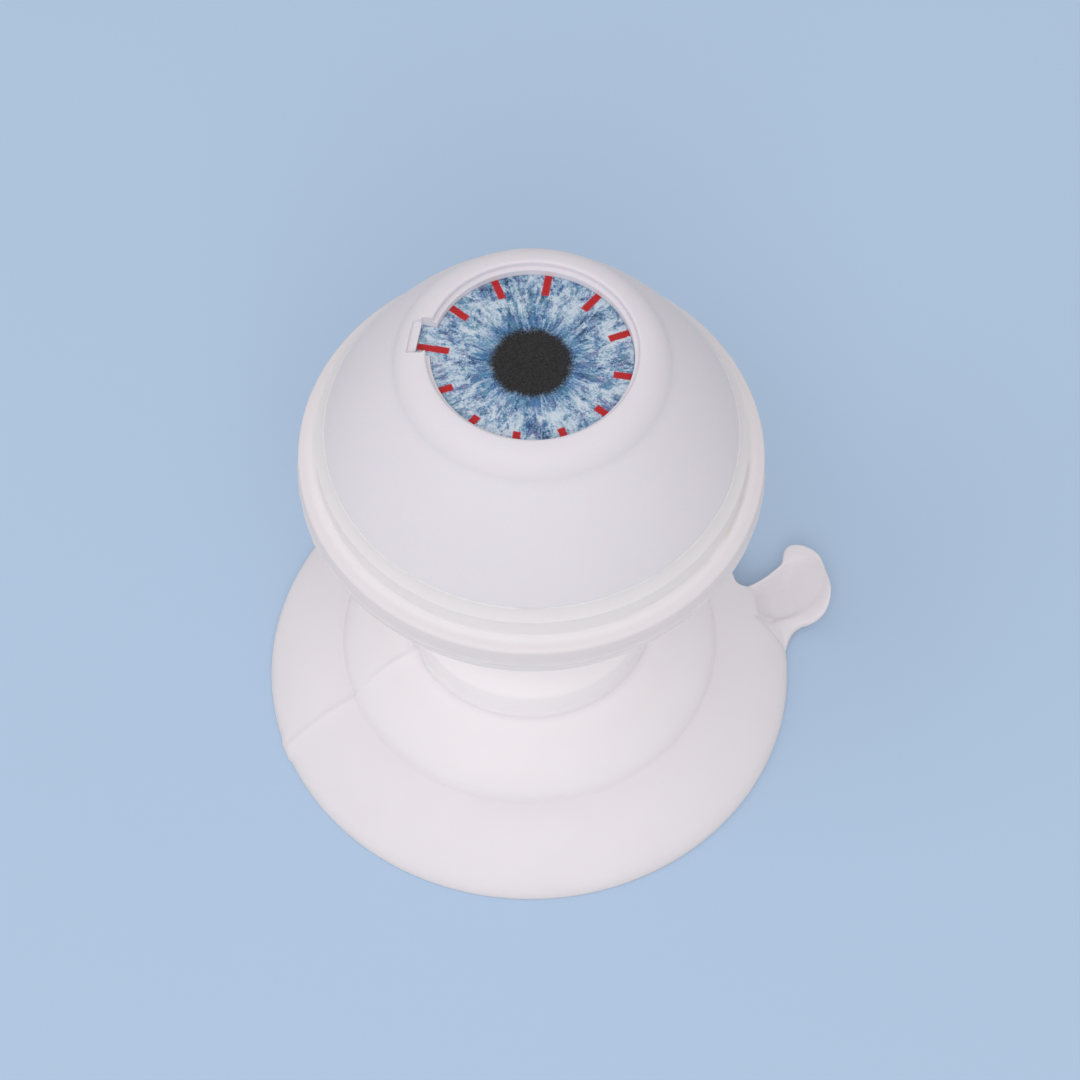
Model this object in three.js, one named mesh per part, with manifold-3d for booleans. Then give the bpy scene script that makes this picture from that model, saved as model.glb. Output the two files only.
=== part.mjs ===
// Practice eye model: a life-size hard eye with a printed iris, held in a flexible cup on a suction foot.
// Millimetres, +Z up. The eye looks straight up and the release tab points along +X.
import * as THREE from 'three';
import { mergeVertices } from 'three/addons/utils/BufferGeometryUtils.js';
import Module from 'manifold-3d';

const wasm = await Module();
wasm.setup();

// Clearances between neighbouring pieces
const seatGap = 0.3;
const eyeFitGap = 0.25;

// Brass insert, washer and screw inside the neck
const screwRadius = 1.5;
const screwLength = 12.0;
const screwHeadRadius = 2.6;
const screwHeadHeight = 1.6;
const screwHeadBevel = 0.6;
const screwSlotWidth = 0.7;
const screwSlotDepth = 0.7;
const insertWall = 0.5;
const insertLength = 4.4;
const washerMargin = 2.0;
const washerThickness = 0.7;

// Suction cup
const baseRadius = 16.45;
const rimThickness = 0.8;
const rimRound = 0.35;
const restRingWidth = 1.3;
const skirtWidth = 4.85;
const skirtBulge = 0.45;
const skirtWall = 1.3;
const creaseHeight = 4.2;
const domeHeight = 7.2;
const domeBulge = 0.35;
const domeTopMargin = 0.82;
const bossWall = 0.8;
const bossRise = 3.4;
const bossFloorHeight = 4.0;
const bossFloorWall = 1.2;

// Gate nub on the rim: a flat pad where the mould's parting plane meets it
const nubAzimuth = 184.7;
const nubWidth = 1.6;
const nubReach = 0.1;
const nubHeight = 0.7;

// Release tab and its pocket in the skirt
const tabRootInset = 1.55;
const tabProjection = 3.45;
const tabThickness = 0.9;
const tabLift = 0.25;
const tabCurlLength = 2.85;
const tabCurlHeight = 2.0;
const tabTipRise = 0.3;
const tabHeadLength = 2.45;
const tabStemHalfWidth = 1.95;
const tabHeadHalfWidth = 2.7;
const tabCornerRadius = 0.9;
const reliefNotchWidth = 2.5;
const reliefNotchRadius = 0.8;

// Holder cup: foot, waist, bowl and lip
const neckWall = 1.9;
const footSpread = 1.68;
const footHeight = 1.5;
const footFlareRise = 3.0;
const footFlareBulge = 0.5;
const stemHeight = 7.0;
const bowlWall = 1.5;
const bowlFloorMargin = 0.8;
const bandInset = 1.03;
const bandHeight = 1.0;
const shoulderRound = 0.55;
const lipWall = 0.55;
const lipRise = 2.35;
const lipRound = 0.4;

// Eye shells
const eyeRadius = 11.85;
const backSpread = 1.08;
const shellWall = 1.2;
const openingRadius = 6.05;
const openingDepth = 0.9;
const ledgeWidth = 0.25;
const ledgeDepth = 0.45;
const bumpRadius = 2.1;
const bumpSetIn = 0.15;
const bumpEndAngle = 12;
const frontHeight = 8.3;
const coneBulge = 0.28;
const coneFootHeight = 0.45;
const skirtDepth = 2.4;
const spigotHeight = 1.8;
const spigotWall = 1.1;
const ventMargin = 0.6;
const ventGap = 0.4;
const sealSection = 0.3;
const sealHeight = 0.85;
const sealProud = 0.1;

// Iris disc, its key and its carrier
const discThickness = 0.5;
const keyAzimuth = 151;
const keySlotWidth = 2.25;
const keySlotDepth = 0.55;
const keySlotFlare = 0.4;
const carrierWall = 0.9;
const carrierPlateMargin = 0.15;
const carrierFlange = 0.7;

// Fineness of round faces
const turns = 40;
const arcSteps = 4;
const roundSteps = 3;
const bowlSteps = 9;
const sealSides = 6;

const rad = THREE.MathUtils.degToRad;
const degrees = THREE.MathUtils.radToDeg;
const level = 0;
const upright = 90;

// Radii that follow from the sizes above, from the screw outwards
const screwHoleRadius = screwRadius + seatGap;
const insertRadius = screwHoleRadius + insertWall;
const insertBoreRadius = insertRadius + seatGap;
const bossRadius = insertBoreRadius + bossWall;
const socketRadius = bossRadius + seatGap;
const waistRadius = socketRadius + neckWall;
const footRadius = waistRadius + footSpread;
const domeTopRadius = footRadius + domeTopMargin;
const creaseRadius = baseRadius - skirtWidth;
const washerRadius = screwHeadRadius + washerMargin;
const bowlFloorRadius = washerRadius + bowlFloorMargin;
const ventRadius = washerRadius + ventMargin;
const eyeBackRadius = eyeRadius + backSpread;
const cavityRadius = eyeBackRadius + seatGap;
const bowlRadius = cavityRadius + bowlWall;
const bandRadius = bowlRadius - bandInset;
const lipBoreRadius = eyeRadius + eyeFitGap;
const lipOuterRadius = lipBoreRadius + lipWall;
const ledgeRadius = openingRadius - ledgeWidth;
const bumpCentreRadius = openingRadius - bumpSetIn;
const keySlotRadius = openingRadius + keySlotDepth;
const keySlotTopRadius = keySlotRadius + keySlotFlare;
const carrierPlateRadius = openingRadius + carrierPlateMargin;

// How far the gate nub's face stands from the axis, and how far it reaches along -X
const nubFace = baseRadius + nubReach;
const nubTurn = rad(nubAzimuth - 180);
const nubExtent = nubFace * Math.cos(nubTurn) + (nubWidth / 2) * Math.sin(nubTurn);

// Places along the release tab
const tabRoot = baseRadius - tabRootInset;
const tabReach = baseRadius + tabProjection;
const tabCurlStart = tabReach - tabCurlLength;
const tabHeadStart = tabReach - tabHeadLength;

// Heights that follow from the sizes above, from the table upwards
const bossTop = domeHeight + bossRise;
const footBottom = domeHeight + seatGap;
const bowlBottom = footBottom + stemHeight;
const bowlCentre = bowlBottom + bowlRadius;
const bowlFloor = bowlCentre - Math.sqrt(cavityRadius ** 2 - bowlFloorRadius ** 2);
const bandBottom = bowlCentre - Math.sqrt(bowlRadius ** 2 - bandRadius ** 2);
const shoulderHeight = bandBottom + bandHeight + shoulderRound;
const lipTop = shoulderHeight + lipRise;
const jointHeight = lipTop - skirtDepth;
const eyeTop = lipTop + frontHeight;
const discTop = eyeTop - openingDepth;
const discBottom = discTop - discThickness;
const screwHeadBottom = bowlFloor + washerThickness + 2 * seatGap;
const recessTop = screwHeadBottom + screwHeadHeight + ventGap;

// A profile is a list of [radius, height] pairs.
const point = (r, z) => new THREE.Vector2(r, z);

function arc(centreR, centreZ, radius, fromDegrees, toDegrees, steps = arcSteps) {
  const points = [];
  for (let i = 0; i <= steps; i += 1) {
    const angle = rad(fromDegrees + ((toDegrees - fromDegrees) * i) / steps);
    points.push(point(centreR + radius * Math.cos(angle), centreZ + radius * Math.sin(angle)));
  }
  return points;
}

// Arc from one point to another that stands off its chord by the bulge, to the left of the way.
function bulged(from, to, bulge, steps = arcSteps) {
  const chord = to.clone().sub(from);
  const side = point(-chord.y, chord.x).normalize();
  const points = [];
  for (let i = 0; i <= steps; i += 1) {
    const t = i / steps;
    const rise = 4 * bulge * t * (1 - t);
    points.push(from.clone().addScaledVector(chord, t).addScaledVector(side, rise));
  }
  return points;
}

function signedArea(points) {
  return points.reduce((sum, p, i) => {
    const q = points[(i + 1) % points.length];
    return sum + p.x * q.y - q.x * p.y;
  }, 0) / 2;
}

// Solid of revolution about Z from a closed outline or one that starts and ends on the axis.
function turned(outline) {
  const points = outline.flat();
  if (signedArea(points) < 0) points.reverse();
  const onAxis = points[0].x === 0 && points[points.length - 1].x === 0;
  if (!onAxis) points.push(points[0].clone());
  return new THREE.LatheGeometry(points, turns).rotateX(Math.PI / 2);
}

// Flat outline in the XY plane, raised from one height to another.
function raised(shape, bottom, top) {
  const depth = top - bottom;
  const settings = { depth, bevelEnabled: false, curveSegments: arcSteps };
  const geometry = new THREE.ExtrudeGeometry(shape, settings);
  return geometry.translate(0, 0, bottom);
}

function toSolid(geometry) {
  const bare = geometry.clone();
  bare.deleteAttribute('normal');
  bare.deleteAttribute('uv');
  const merged = mergeVertices(bare);
  return new wasm.Manifold(new wasm.Mesh({
    numProp: 3,
    vertProperties: new Float32Array(merged.attributes.position.array),
    triVerts: new Uint32Array(merged.index.array),
  }));
}

function toGeometry(solid) {
  const mesh = solid.getMesh();
  const geometry = new THREE.BufferGeometry();
  geometry.setAttribute('position', new THREE.BufferAttribute(new Float32Array(mesh.vertProperties), 3));
  geometry.setIndex(new THREE.BufferAttribute(new Uint32Array(mesh.triVerts), 1));
  geometry.computeVertexNormals();
  return geometry;
}

function cut(geometry, ...tools) {
  return toGeometry(tools.reduce((solid, tool) => solid.subtract(toSolid(tool)), toSolid(geometry)));
}

const silicone = { color: 0xe6e1e5, roughness: 0.5, metalness: 0 };
const hardShell = { color: 0xe0dbe1, roughness: 0.62, metalness: 0 };
const innerPlastic = { color: 0xd9d6da, roughness: 0.55, metalness: 0 };
const sealRubber = { color: 0x3a3b3e, roughness: 0.7, metalness: 0 };
const print = { color: 0x7aa3c6, roughness: 0.6, metalness: 0 };
const brass = { color: 0xc2a35a, roughness: 0.35, metalness: 1 };
const steel = { color: 0xb9bbbf, roughness: 0.3, metalness: 1 };

function piece(name, geometry, finish) {
  const mesh = new THREE.Mesh(geometry, new THREE.MeshStandardMaterial(finish));
  mesh.name = name;
  return mesh;
}

// Flat pad that stands out of the rim, deep enough to join it all along.
function gateNub() {
  const depth = rimRound + nubReach;
  const pad = new THREE.BoxGeometry(depth, nubWidth, nubHeight);
  return pad.translate(nubFace - depth / 2, 0, nubHeight / 2).rotateZ(rad(nubAzimuth));
}

// Pocket in the skirt where the tab's root lies, with the relief notch beside it.
function tabPocket() {
  const inner = tabRoot - seatGap;
  const outer = baseRadius + rimThickness;
  const near = -(tabStemHalfWidth + seatGap);
  const far = tabStemHalfWidth + seatGap + reliefNotchWidth;
  const shape = new THREE.Shape();
  shape.moveTo(inner, near);
  shape.lineTo(outer, near);
  shape.lineTo(outer, far);
  shape.lineTo(inner + reliefNotchRadius, far);
  shape.absarc(inner + reliefNotchRadius, far - reliefNotchRadius, reliefNotchRadius, Math.PI / 2, Math.PI);
  shape.closePath();
  return raised(shape, -rimThickness, domeHeight);
}

function suctionCup() {
  const rimTop = point(baseRadius - rimRound, rimThickness);
  const crease = point(creaseRadius, creaseHeight);
  const restInner = baseRadius - restRingWidth - rimRound;
  const skirtInner = point(creaseRadius - skirtWall / 2, creaseHeight - skirtWall);
  const domeInner = point(domeTopRadius - skirtWall / 2, domeHeight - skirtWall);
  const outline = [
    bulged(point(restInner, 0), skirtInner, skirtBulge),
    bulged(skirtInner, domeInner, domeBulge).slice(1),
    point(socketRadius, domeHeight - skirtWall),
    point(socketRadius, bossFloorHeight - bossFloorWall),
    point(0, bossFloorHeight - bossFloorWall),
    point(0, bossFloorHeight),
    point(insertBoreRadius, bossFloorHeight),
    point(insertBoreRadius, bossTop),
    point(bossRadius, bossTop),
    point(bossRadius, domeHeight),
    bulged(point(domeTopRadius, domeHeight), crease, domeBulge),
    bulged(crease, rimTop, skirtBulge).slice(1),
    arc(baseRadius - rimRound, rimThickness - rimRound, rimRound, upright, level, roundSteps).slice(1),
    point(baseRadius, 0),
  ].flat();
  const body = new THREE.LatheGeometry(closedFromAxis(outline), turns).rotateX(Math.PI / 2);
  return toGeometry(toSolid(body).subtract(toSolid(tabPocket())).add(toSolid(gateNub())));
}

// Reorders an outline that touches the axis on one edge so that it starts and ends on the axis.
function closedFromAxis(outline) {
  const points = signedArea(outline) < 0 ? [...outline].reverse() : outline;
  const before = (i) => points[(i + points.length - 1) % points.length];
  const start = points.findIndex((p, i) => p.x === 0 && before(i).x === 0);
  return [...points.slice(start), ...points.slice(0, start)];
}

// Side view of the tab: a strip that lies level along the stem and curls up at the head.
function tabStrip() {
  const top = tabLift + tabCurlHeight;
  const strip = new THREE.Shape();
  strip.moveTo(tabRoot, tabLift);
  strip.lineTo(tabCurlStart, tabLift);
  strip.quadraticCurveTo(tabReach, tabLift, tabReach, top);
  strip.lineTo(tabReach - tabThickness, top + tabTipRise);
  strip.quadraticCurveTo(
    tabReach - tabThickness,
    tabLift + tabThickness,
    tabCurlStart,
    tabLift + tabThickness,
  );
  strip.lineTo(tabRoot, tabLift + tabThickness);
  strip.closePath();
  return strip;
}

// Plan of the tab: a straight stem that widens to a round-cornered head.
function tabPlan() {
  const stem = tabStemHalfWidth;
  const head = tabHeadHalfWidth;
  const corner = tabCornerRadius;
  const blend = corner / 2;
  const start = tabRoot - tabThickness;
  const past = tabReach + tabThickness;
  const plan = new THREE.Shape();
  plan.moveTo(start, -stem);
  plan.lineTo(tabHeadStart - blend, -stem);
  plan.quadraticCurveTo(tabHeadStart, -stem, tabHeadStart + blend, -head);
  plan.lineTo(tabReach - corner, -head);
  plan.quadraticCurveTo(tabReach, -head, past, 2 * corner - head);
  plan.lineTo(past, head - 2 * corner);
  plan.quadraticCurveTo(tabReach, head, tabReach - corner, head);
  plan.lineTo(tabHeadStart + blend, head);
  plan.quadraticCurveTo(tabHeadStart, stem, tabHeadStart - blend, stem);
  plan.lineTo(start, stem);
  plan.closePath();
  return plan;
}

// Spoon-like tab: the curled strip cut to its plan.
function releaseTab() {
  const strip = raised(tabStrip(), -tabHeadHalfWidth, tabHeadHalfWidth).rotateX(Math.PI / 2);
  const outline = raised(tabPlan(), -rimThickness, domeHeight);
  return toGeometry(toSolid(strip).intersect(toSolid(outline)));
}

function threadedInsert() {
  const top = bossTop - seatGap;
  const bottom = top - insertLength;
  const groove = insertRadius - seatGap;
  const middle = top - insertLength / 2;
  return turned([
    point(screwHoleRadius, bottom),
    point(insertRadius, bottom),
    point(insertRadius, middle - seatGap),
    point(groove, middle - seatGap),
    point(groove, middle + seatGap),
    point(insertRadius, middle + seatGap),
    point(insertRadius, top),
    point(screwHoleRadius, top),
  ]);
}

function holderCup() {
  const socketTop = bossTop + seatGap;
  const footEdge = point(footRadius, footBottom + footHeight);
  const waist = point(waistRadius, footEdge.y + footFlareRise);
  const stemAngle = degrees(Math.acos(waistRadius / bowlRadius));
  const bandAngle = degrees(Math.acos(bandRadius / bowlRadius));
  const floorAngle = degrees(Math.acos(bowlFloorRadius / cavityRadius));
  const boreAngle = degrees(Math.acos(lipBoreRadius / cavityRadius));
  const shoulderRadius = bandRadius - shoulderRound;
  return turned([
    point(socketRadius, footBottom),
    point(footRadius, footBottom),
    bulged(footEdge, waist, footFlareBulge),
    arc(0, bowlCentre, bowlRadius, -stemAngle, -bandAngle, bowlSteps),
    arc(shoulderRadius, shoulderHeight - shoulderRound, shoulderRound, level, upright),
    point(lipOuterRadius, shoulderHeight),
    arc(lipOuterRadius - lipRound, lipTop - lipRound, lipRound, level, upright, roundSteps),
    point(lipBoreRadius, lipTop),
    arc(0, bowlCentre, cavityRadius, -boreAngle, -floorAngle, bowlSteps),
    point(screwHoleRadius, bowlFloor),
    point(screwHoleRadius, socketTop),
    point(socketRadius, socketTop),
  ]);
}

function holderWasher() {
  const bottom = bowlFloor + seatGap;
  const top = bottom + washerThickness;
  return turned([
    point(screwHoleRadius, bottom),
    point(washerRadius, bottom),
    point(washerRadius, top),
    point(screwHoleRadius, top),
  ]);
}

function holderScrew() {
  const top = screwHeadBottom + screwHeadHeight;
  const body = turned([
    point(0, screwHeadBottom - screwLength),
    point(screwRadius, screwHeadBottom - screwLength),
    point(screwRadius, screwHeadBottom),
    point(screwHeadRadius, screwHeadBottom),
    point(screwHeadRadius, top - screwHeadBevel),
    point(screwHeadRadius - screwHeadBevel, top),
    point(0, top),
  ]);
  const slotLength = 2 * (screwHeadRadius + seatGap);
  const slot = new THREE.BoxGeometry(slotLength, screwSlotWidth, 2 * screwSlotDepth);
  return cut(body, slot.translate(0, 0, top));
}

const spigotOuterRadius = eyeRadius - shellWall - seatGap;
const spigotInnerRadius = spigotOuterRadius - spigotWall;
const spigotTop = jointHeight + spigotHeight;

function rearShell() {
  const innerRadius = eyeBackRadius - shellWall;
  const outerAngle = degrees(Math.acos(eyeRadius / eyeBackRadius));
  const poleAngle = degrees(Math.acos(ventRadius / eyeBackRadius));
  const innerTopAngle = degrees(Math.acos(spigotInnerRadius / innerRadius));
  const innerDrop = bowlCentre - recessTop - shellWall;
  const innerLowAngle = degrees(Math.asin(innerDrop / innerRadius));
  const shoulder = jointHeight - seatGap;
  const grooveRadius = spigotOuterRadius - 2 * sealSection;
  const grooveBottom = jointHeight + sealHeight - sealSection - seatGap;
  const grooveTop = jointHeight + sealHeight + sealSection + seatGap;
  return turned([
    point(0, recessTop),
    point(ventRadius, recessTop),
    arc(0, bowlCentre, eyeBackRadius, -poleAngle, -outerAngle, bowlSteps),
    point(eyeRadius, shoulder),
    point(spigotOuterRadius, shoulder),
    point(spigotOuterRadius, grooveBottom),
    point(grooveRadius, grooveBottom),
    point(grooveRadius, grooveTop),
    point(spigotOuterRadius, grooveTop),
    point(spigotOuterRadius, spigotTop),
    point(spigotInnerRadius, spigotTop),
    arc(0, bowlCentre, innerRadius, -innerTopAngle, -innerLowAngle, bowlSteps),
    point(0, recessTop + shellWall),
  ]);
}

function sealRing() {
  const centre = spigotOuterRadius - sealSection + sealProud;
  const lastAngle = 360 - 360 / sealSides;
  return turned([arc(centre, jointHeight + sealHeight, sealSection, 0, lastAngle, sealSides - 1)]);
}

// Slot for the disc's key, as a straight-sided outline that reaches the given radius.
function keySlot(width, reach, bottom, top) {
  const shape = new THREE.Shape();
  shape.moveTo(0, -width / 2);
  shape.lineTo(reach, -width / 2);
  shape.lineTo(reach, width / 2);
  shape.lineTo(0, width / 2);
  shape.closePath();
  return raised(shape, bottom, top).rotateZ(rad(keyAzimuth));
}

const bumpCentre = eyeTop - bumpRadius;
const coneFoot = lipTop + coneFootHeight;
const coneTop = point(
  bumpCentreRadius + bumpRadius * Math.cos(rad(bumpEndAngle)),
  bumpCentre + bumpRadius * Math.sin(rad(bumpEndAngle)),
);
const coneBottom = point(eyeRadius, coneFoot);
const coneSide = coneBottom.clone().sub(coneTop).normalize();
const inward = point(coneSide.y, -coneSide.x);

// A point on the inside of the cone wall at the given height, the given distance in from its outside.
function insideCone(height, depth) {
  const from = coneTop.clone().addScaledVector(inward, depth);
  const foot = coneBottom.y + inward.y * depth;
  const t = (from.y - height) / (from.y - foot);
  return from.x + t * (coneBottom.x - coneTop.x);
}

function frontShell() {
  const innerTop = point(insideCone(discBottom, shellWall), discBottom);
  const innerRadius = eyeRadius - shellWall;
  const innerFoot = point(innerRadius, coneFoot);
  const edge = degrees(Math.acos((openingRadius - bumpCentreRadius) / bumpRadius));
  const body = turned([
    point(ledgeRadius, discBottom),
    point(ledgeRadius, eyeTop - ledgeDepth),
    point(openingRadius, eyeTop - ledgeDepth),
    arc(bumpCentreRadius, bumpCentre, bumpRadius, edge, bumpEndAngle),
    bulged(coneTop, coneBottom, coneBulge).slice(1),
    point(eyeRadius, jointHeight),
    point(innerRadius, jointHeight),
    innerFoot,
    bulged(innerFoot, innerTop, -coneBulge).slice(1),
  ]);
  const lowSlot = keySlot(keySlotWidth, keySlotRadius, discBottom - shellWall, eyeTop);
  const slotFloor = eyeTop - ledgeDepth;
  const highSlot = keySlot(keySlotWidth, keySlotTopRadius, slotFloor, eyeTop + bumpRadius);
  return cut(body, lowSlot, highSlot);
}

function irisCarrier() {
  const plateTop = discBottom - seatGap;
  const flangeBottom = spigotTop + seatGap;
  const flangeTop = flangeBottom + carrierFlange;
  const outside = (height) => insideCone(height, shellWall + seatGap + coneBulge);
  const plateEdge = Math.min(carrierPlateRadius, outside(plateTop));
  const wallTop = plateTop - carrierWall;
  return turned([
    point(spigotInnerRadius, flangeBottom),
    point(spigotOuterRadius, flangeBottom),
    point(spigotOuterRadius, flangeTop),
    point(plateEdge, plateTop),
    point(0, plateTop),
    point(0, wallTop),
    point(plateEdge - carrierWall, wallTop),
  ]);
}

function irisDisc() {
  const discRadius = ledgeRadius - seatGap;
  const disc = turned([
    point(0, discBottom),
    point(discRadius, discBottom),
    point(discRadius, discTop),
    point(0, discTop),
  ]);
  const keyWidth = keySlotWidth - 2 * seatGap;
  const key = keySlot(keyWidth, keySlotRadius - seatGap, discBottom, discTop);
  return toGeometry(toSolid(disc).add(toSolid(key)));
}

const model = new THREE.Group();
// The axis stands off the middle of the overall box, which the tab makes longer on one side.
const axisOffset = -(tabReach - nubExtent) / 2;
model.position.x = axisOffset;
model.add(
  piece('suction_cup', suctionCup(), silicone),
  piece('release_tab', releaseTab(), silicone),
  piece('threaded_insert', threadedInsert(), brass),
  piece('holder_cup', holderCup(), silicone),
  piece('holder_washer', holderWasher(), steel),
  piece('holder_screw', holderScrew(), steel),
  piece('rear_shell', rearShell(), innerPlastic),
  piece('seal_ring', sealRing(), sealRubber),
  piece('iris_carrier', irisCarrier(), innerPlastic),
  piece('front_shell', frontShell(), hardShell),
  piece('iris_disc', irisDisc(), print),
);

export default model;
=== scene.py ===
"""Practice eye model: a hard eye with a printed iris, in a flexible cup on a suction foot.

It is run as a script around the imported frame. Sizes are in metres and follow the frame's own axes.
"""
import math

import bmesh
import bpy
from bpy.props import FloatProperty, FloatVectorProperty, PointerProperty
from mathutils import Matrix, Vector, noise


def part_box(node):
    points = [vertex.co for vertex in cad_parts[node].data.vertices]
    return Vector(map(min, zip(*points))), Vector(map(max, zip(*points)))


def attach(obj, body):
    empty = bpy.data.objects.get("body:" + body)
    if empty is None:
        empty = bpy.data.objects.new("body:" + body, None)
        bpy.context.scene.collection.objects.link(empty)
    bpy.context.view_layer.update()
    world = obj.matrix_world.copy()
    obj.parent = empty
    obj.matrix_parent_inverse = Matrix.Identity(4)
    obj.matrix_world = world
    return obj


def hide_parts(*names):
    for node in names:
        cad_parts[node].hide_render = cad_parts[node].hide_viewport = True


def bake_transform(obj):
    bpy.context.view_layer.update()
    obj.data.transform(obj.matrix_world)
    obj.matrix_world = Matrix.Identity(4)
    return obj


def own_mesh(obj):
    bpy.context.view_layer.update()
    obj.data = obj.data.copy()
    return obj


bl_info = {
    "name": "Practice Eye Model",
    "version": (1, 0, 0),
    "blender": (4, 5, 0),
    "location": "View3D > Sidebar > Practice Eye",
    "description": "Builds a life-size practice eye in a flexible cup on a suction foot",
    "category": "Add Mesh",
}

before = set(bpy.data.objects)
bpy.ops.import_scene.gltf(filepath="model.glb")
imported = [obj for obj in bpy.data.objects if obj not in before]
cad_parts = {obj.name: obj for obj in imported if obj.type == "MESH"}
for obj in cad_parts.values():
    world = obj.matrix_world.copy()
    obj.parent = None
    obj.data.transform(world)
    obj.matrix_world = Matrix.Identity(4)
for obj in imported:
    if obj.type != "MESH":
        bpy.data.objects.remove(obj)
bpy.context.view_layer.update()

MM = 0.001
FULL_TURN = 2 * math.pi
CLOCK_TICKS = 12

# How finely round shapes are made, and the angle from which an edge is shaded sharp
TURN_STEPS = 360
ROUND_SEGMENTS = 4
SAME_PLACE = 1e-7
SHARP_ANGLE = math.radians(38)

# Half the floor's width and the camera's clip distances in metres, and its sensor in millimetres
FLOOR_REACH = 4
CLIP_START = 0.01
CLIP_END = 20
SENSOR_WIDTH = 36

# Places taken from the frame
cup_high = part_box("suction_cup")[1]
holder_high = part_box("holder_cup")[1]
shell_low, shell_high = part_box("front_shell")
disc_low, disc_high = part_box("iris_disc")
AXIS = Vector(((shell_low.x + shell_high.x) / 2, (shell_low.y + shell_high.y) / 2, 0))
BASE_RADIUS = cup_high.y
BOWL_BAND_RADIUS = holder_high.y


def linear(red, green, blue):
    """Scene-linear colour of an sRGB colour given from 0 to 255."""
    shares = [value / 255 for value in (red, green, blue)]
    return tuple(s / 12.92 if s <= 0.04045 else ((s + 0.055) / 1.055) ** 2.4 for s in shares)


def length(name, description, default):
    """Property for a length in metres."""
    return FloatProperty(
        name=name, description=description, default=default, min=0, unit="LENGTH", precision=5)


def share(name, description, default):
    """Property for a number from 0 to 1."""
    return FloatProperty(
        name=name, description=description, default=default, min=0, max=1, subtype="FACTOR")


def turn(name, description, degrees):
    """Property for an angle, with its default in degrees."""
    return FloatProperty(
        name=name, description=description, default=math.radians(degrees), unit="ROTATION")


def power(name, description, default):
    """Property for a lamp's power in watts."""
    return FloatProperty(
        name=name, description=description, default=default, min=0, unit="POWER")


def colour(name, description, red, green, blue):
    """Property for a colour, with its default in sRGB from 0 to 255."""
    return FloatVectorProperty(
        name=name, description=description, default=linear(red, green, blue), min=0, max=1, size=3,
        subtype="COLOR")


class SuctionCupSizes(bpy.types.PropertyGroup):
    """Sizes of the suction cup and its release tab."""
    rim_height: length("Rim height", "Height of the skirt's outer wall", 0.74 * MM)
    rim_round: length("Rim rounding", "Rounding of the skirt's outer edge", 0.58 * MM)
    skirt_bulge: length("Skirt bulge", "How far the skirt stands off a straight cone", 0.45 * MM)
    crease_radius: length("Crease radius", "Radius where the dome meets the skirt", 11.73 * MM)
    crease_height: length("Crease height", "Height where the dome meets the skirt", 3.98 * MM)
    crease_step: length("Crease step", "Height of the steep step at the dome's foot", 0.55 * MM)
    crease_round: length("Crease rounding", "Rounding of the dome's lower edge", 0.4 * MM)
    crease_ring: length("Crease ring", "Width of the flat ring outside the crease", 0.16 * MM)
    dome_height: length("Dome height", "Height of the dome under the foot", 7.2 * MM)
    dome_top_radius: length("Dome top radius", "Radius where the dome starts to fall", 7.75 * MM)
    wall: length("Wall", "Thickness of the skirt and the dome", 1.3 * MM)
    seam_azimuth: turn("Parting azimuth", "Direction of the mould's parting line", 185.4)
    gate_azimuth: turn("Gate pad azimuth", "Direction of the flat gate pad on the rim", 184.7)
    seam_height: length("Parting line height", "How far the mould's parting line stands up", 0.12 * MM)
    seam_far: length("Parting line far side", "Width of the parting line's steep side", 0.34 * MM)
    seam_near: length("Parting line near side", "Width of the parting line's flat side", 1.1 * MM)
    gate_width: length("Gate pad width", "Width of the flat gate pad on the rim", 1.6 * MM)
    gate_reach: length("Gate pad reach", "How far the gate pad stands out of the rim", 0.12 * MM)
    notch_inner: length("Notch bottom", "Distance of the notch's bottom from the axis", 13.95 * MM)
    notch_near: length("Notch near side", "How far the notch reaches on the tab's near side", 1.85 * MM)
    notch_far: length("Notch far side", "How far the notch reaches on the tab's far side", 4.35 * MM)


class HolderSizes(bpy.types.PropertyGroup):
    """Sizes of the flexible cup that holds the eye."""
    lip_inner: length("Lip inner radius", "Radius of the lip's inner edge", 12.03 * MM)
    lip_outer: length("Lip outer radius", "Radius of the lip's outer wall", 12.62 * MM)
    lip_top: length("Lip top", "Height of the lip's inner edge", 27.8 * MM)
    lip_slope: length("Lip slope", "Fall of the lip's top face to its outer edge", 0.72 * MM)
    ledge_height: length("Ledge height", "Height of the shoulder's top", 25.6 * MM)
    shoulder_radius: length("Shoulder radius", "Radius of the shoulder's side wall", 13.63 * MM)
    shoulder_round: length("Shoulder rounding", "Rounding of the shoulder's edge", 0.52 * MM)
    groove_radius: length("Groove radius", "Radius of the groove's bottom", 12.56 * MM)
    foot_radius: length("Foot radius", "Radius of the foot ring", 7.28 * MM)
    foot_edge: length("Foot edge height", "Height of the foot ring's upper edge", 9.0 * MM)
    foot_fillet: length("Foot fillet", "Reach of the soft join between the foot and the dome", 0.45 * MM)
    flash_height: length("Flash height", "How far moulding flash stands off the edges", 0.05 * MM)
    flash_low: length("Flash line", "Height of the flash line under the shoulder", 24.0 * MM)


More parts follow.
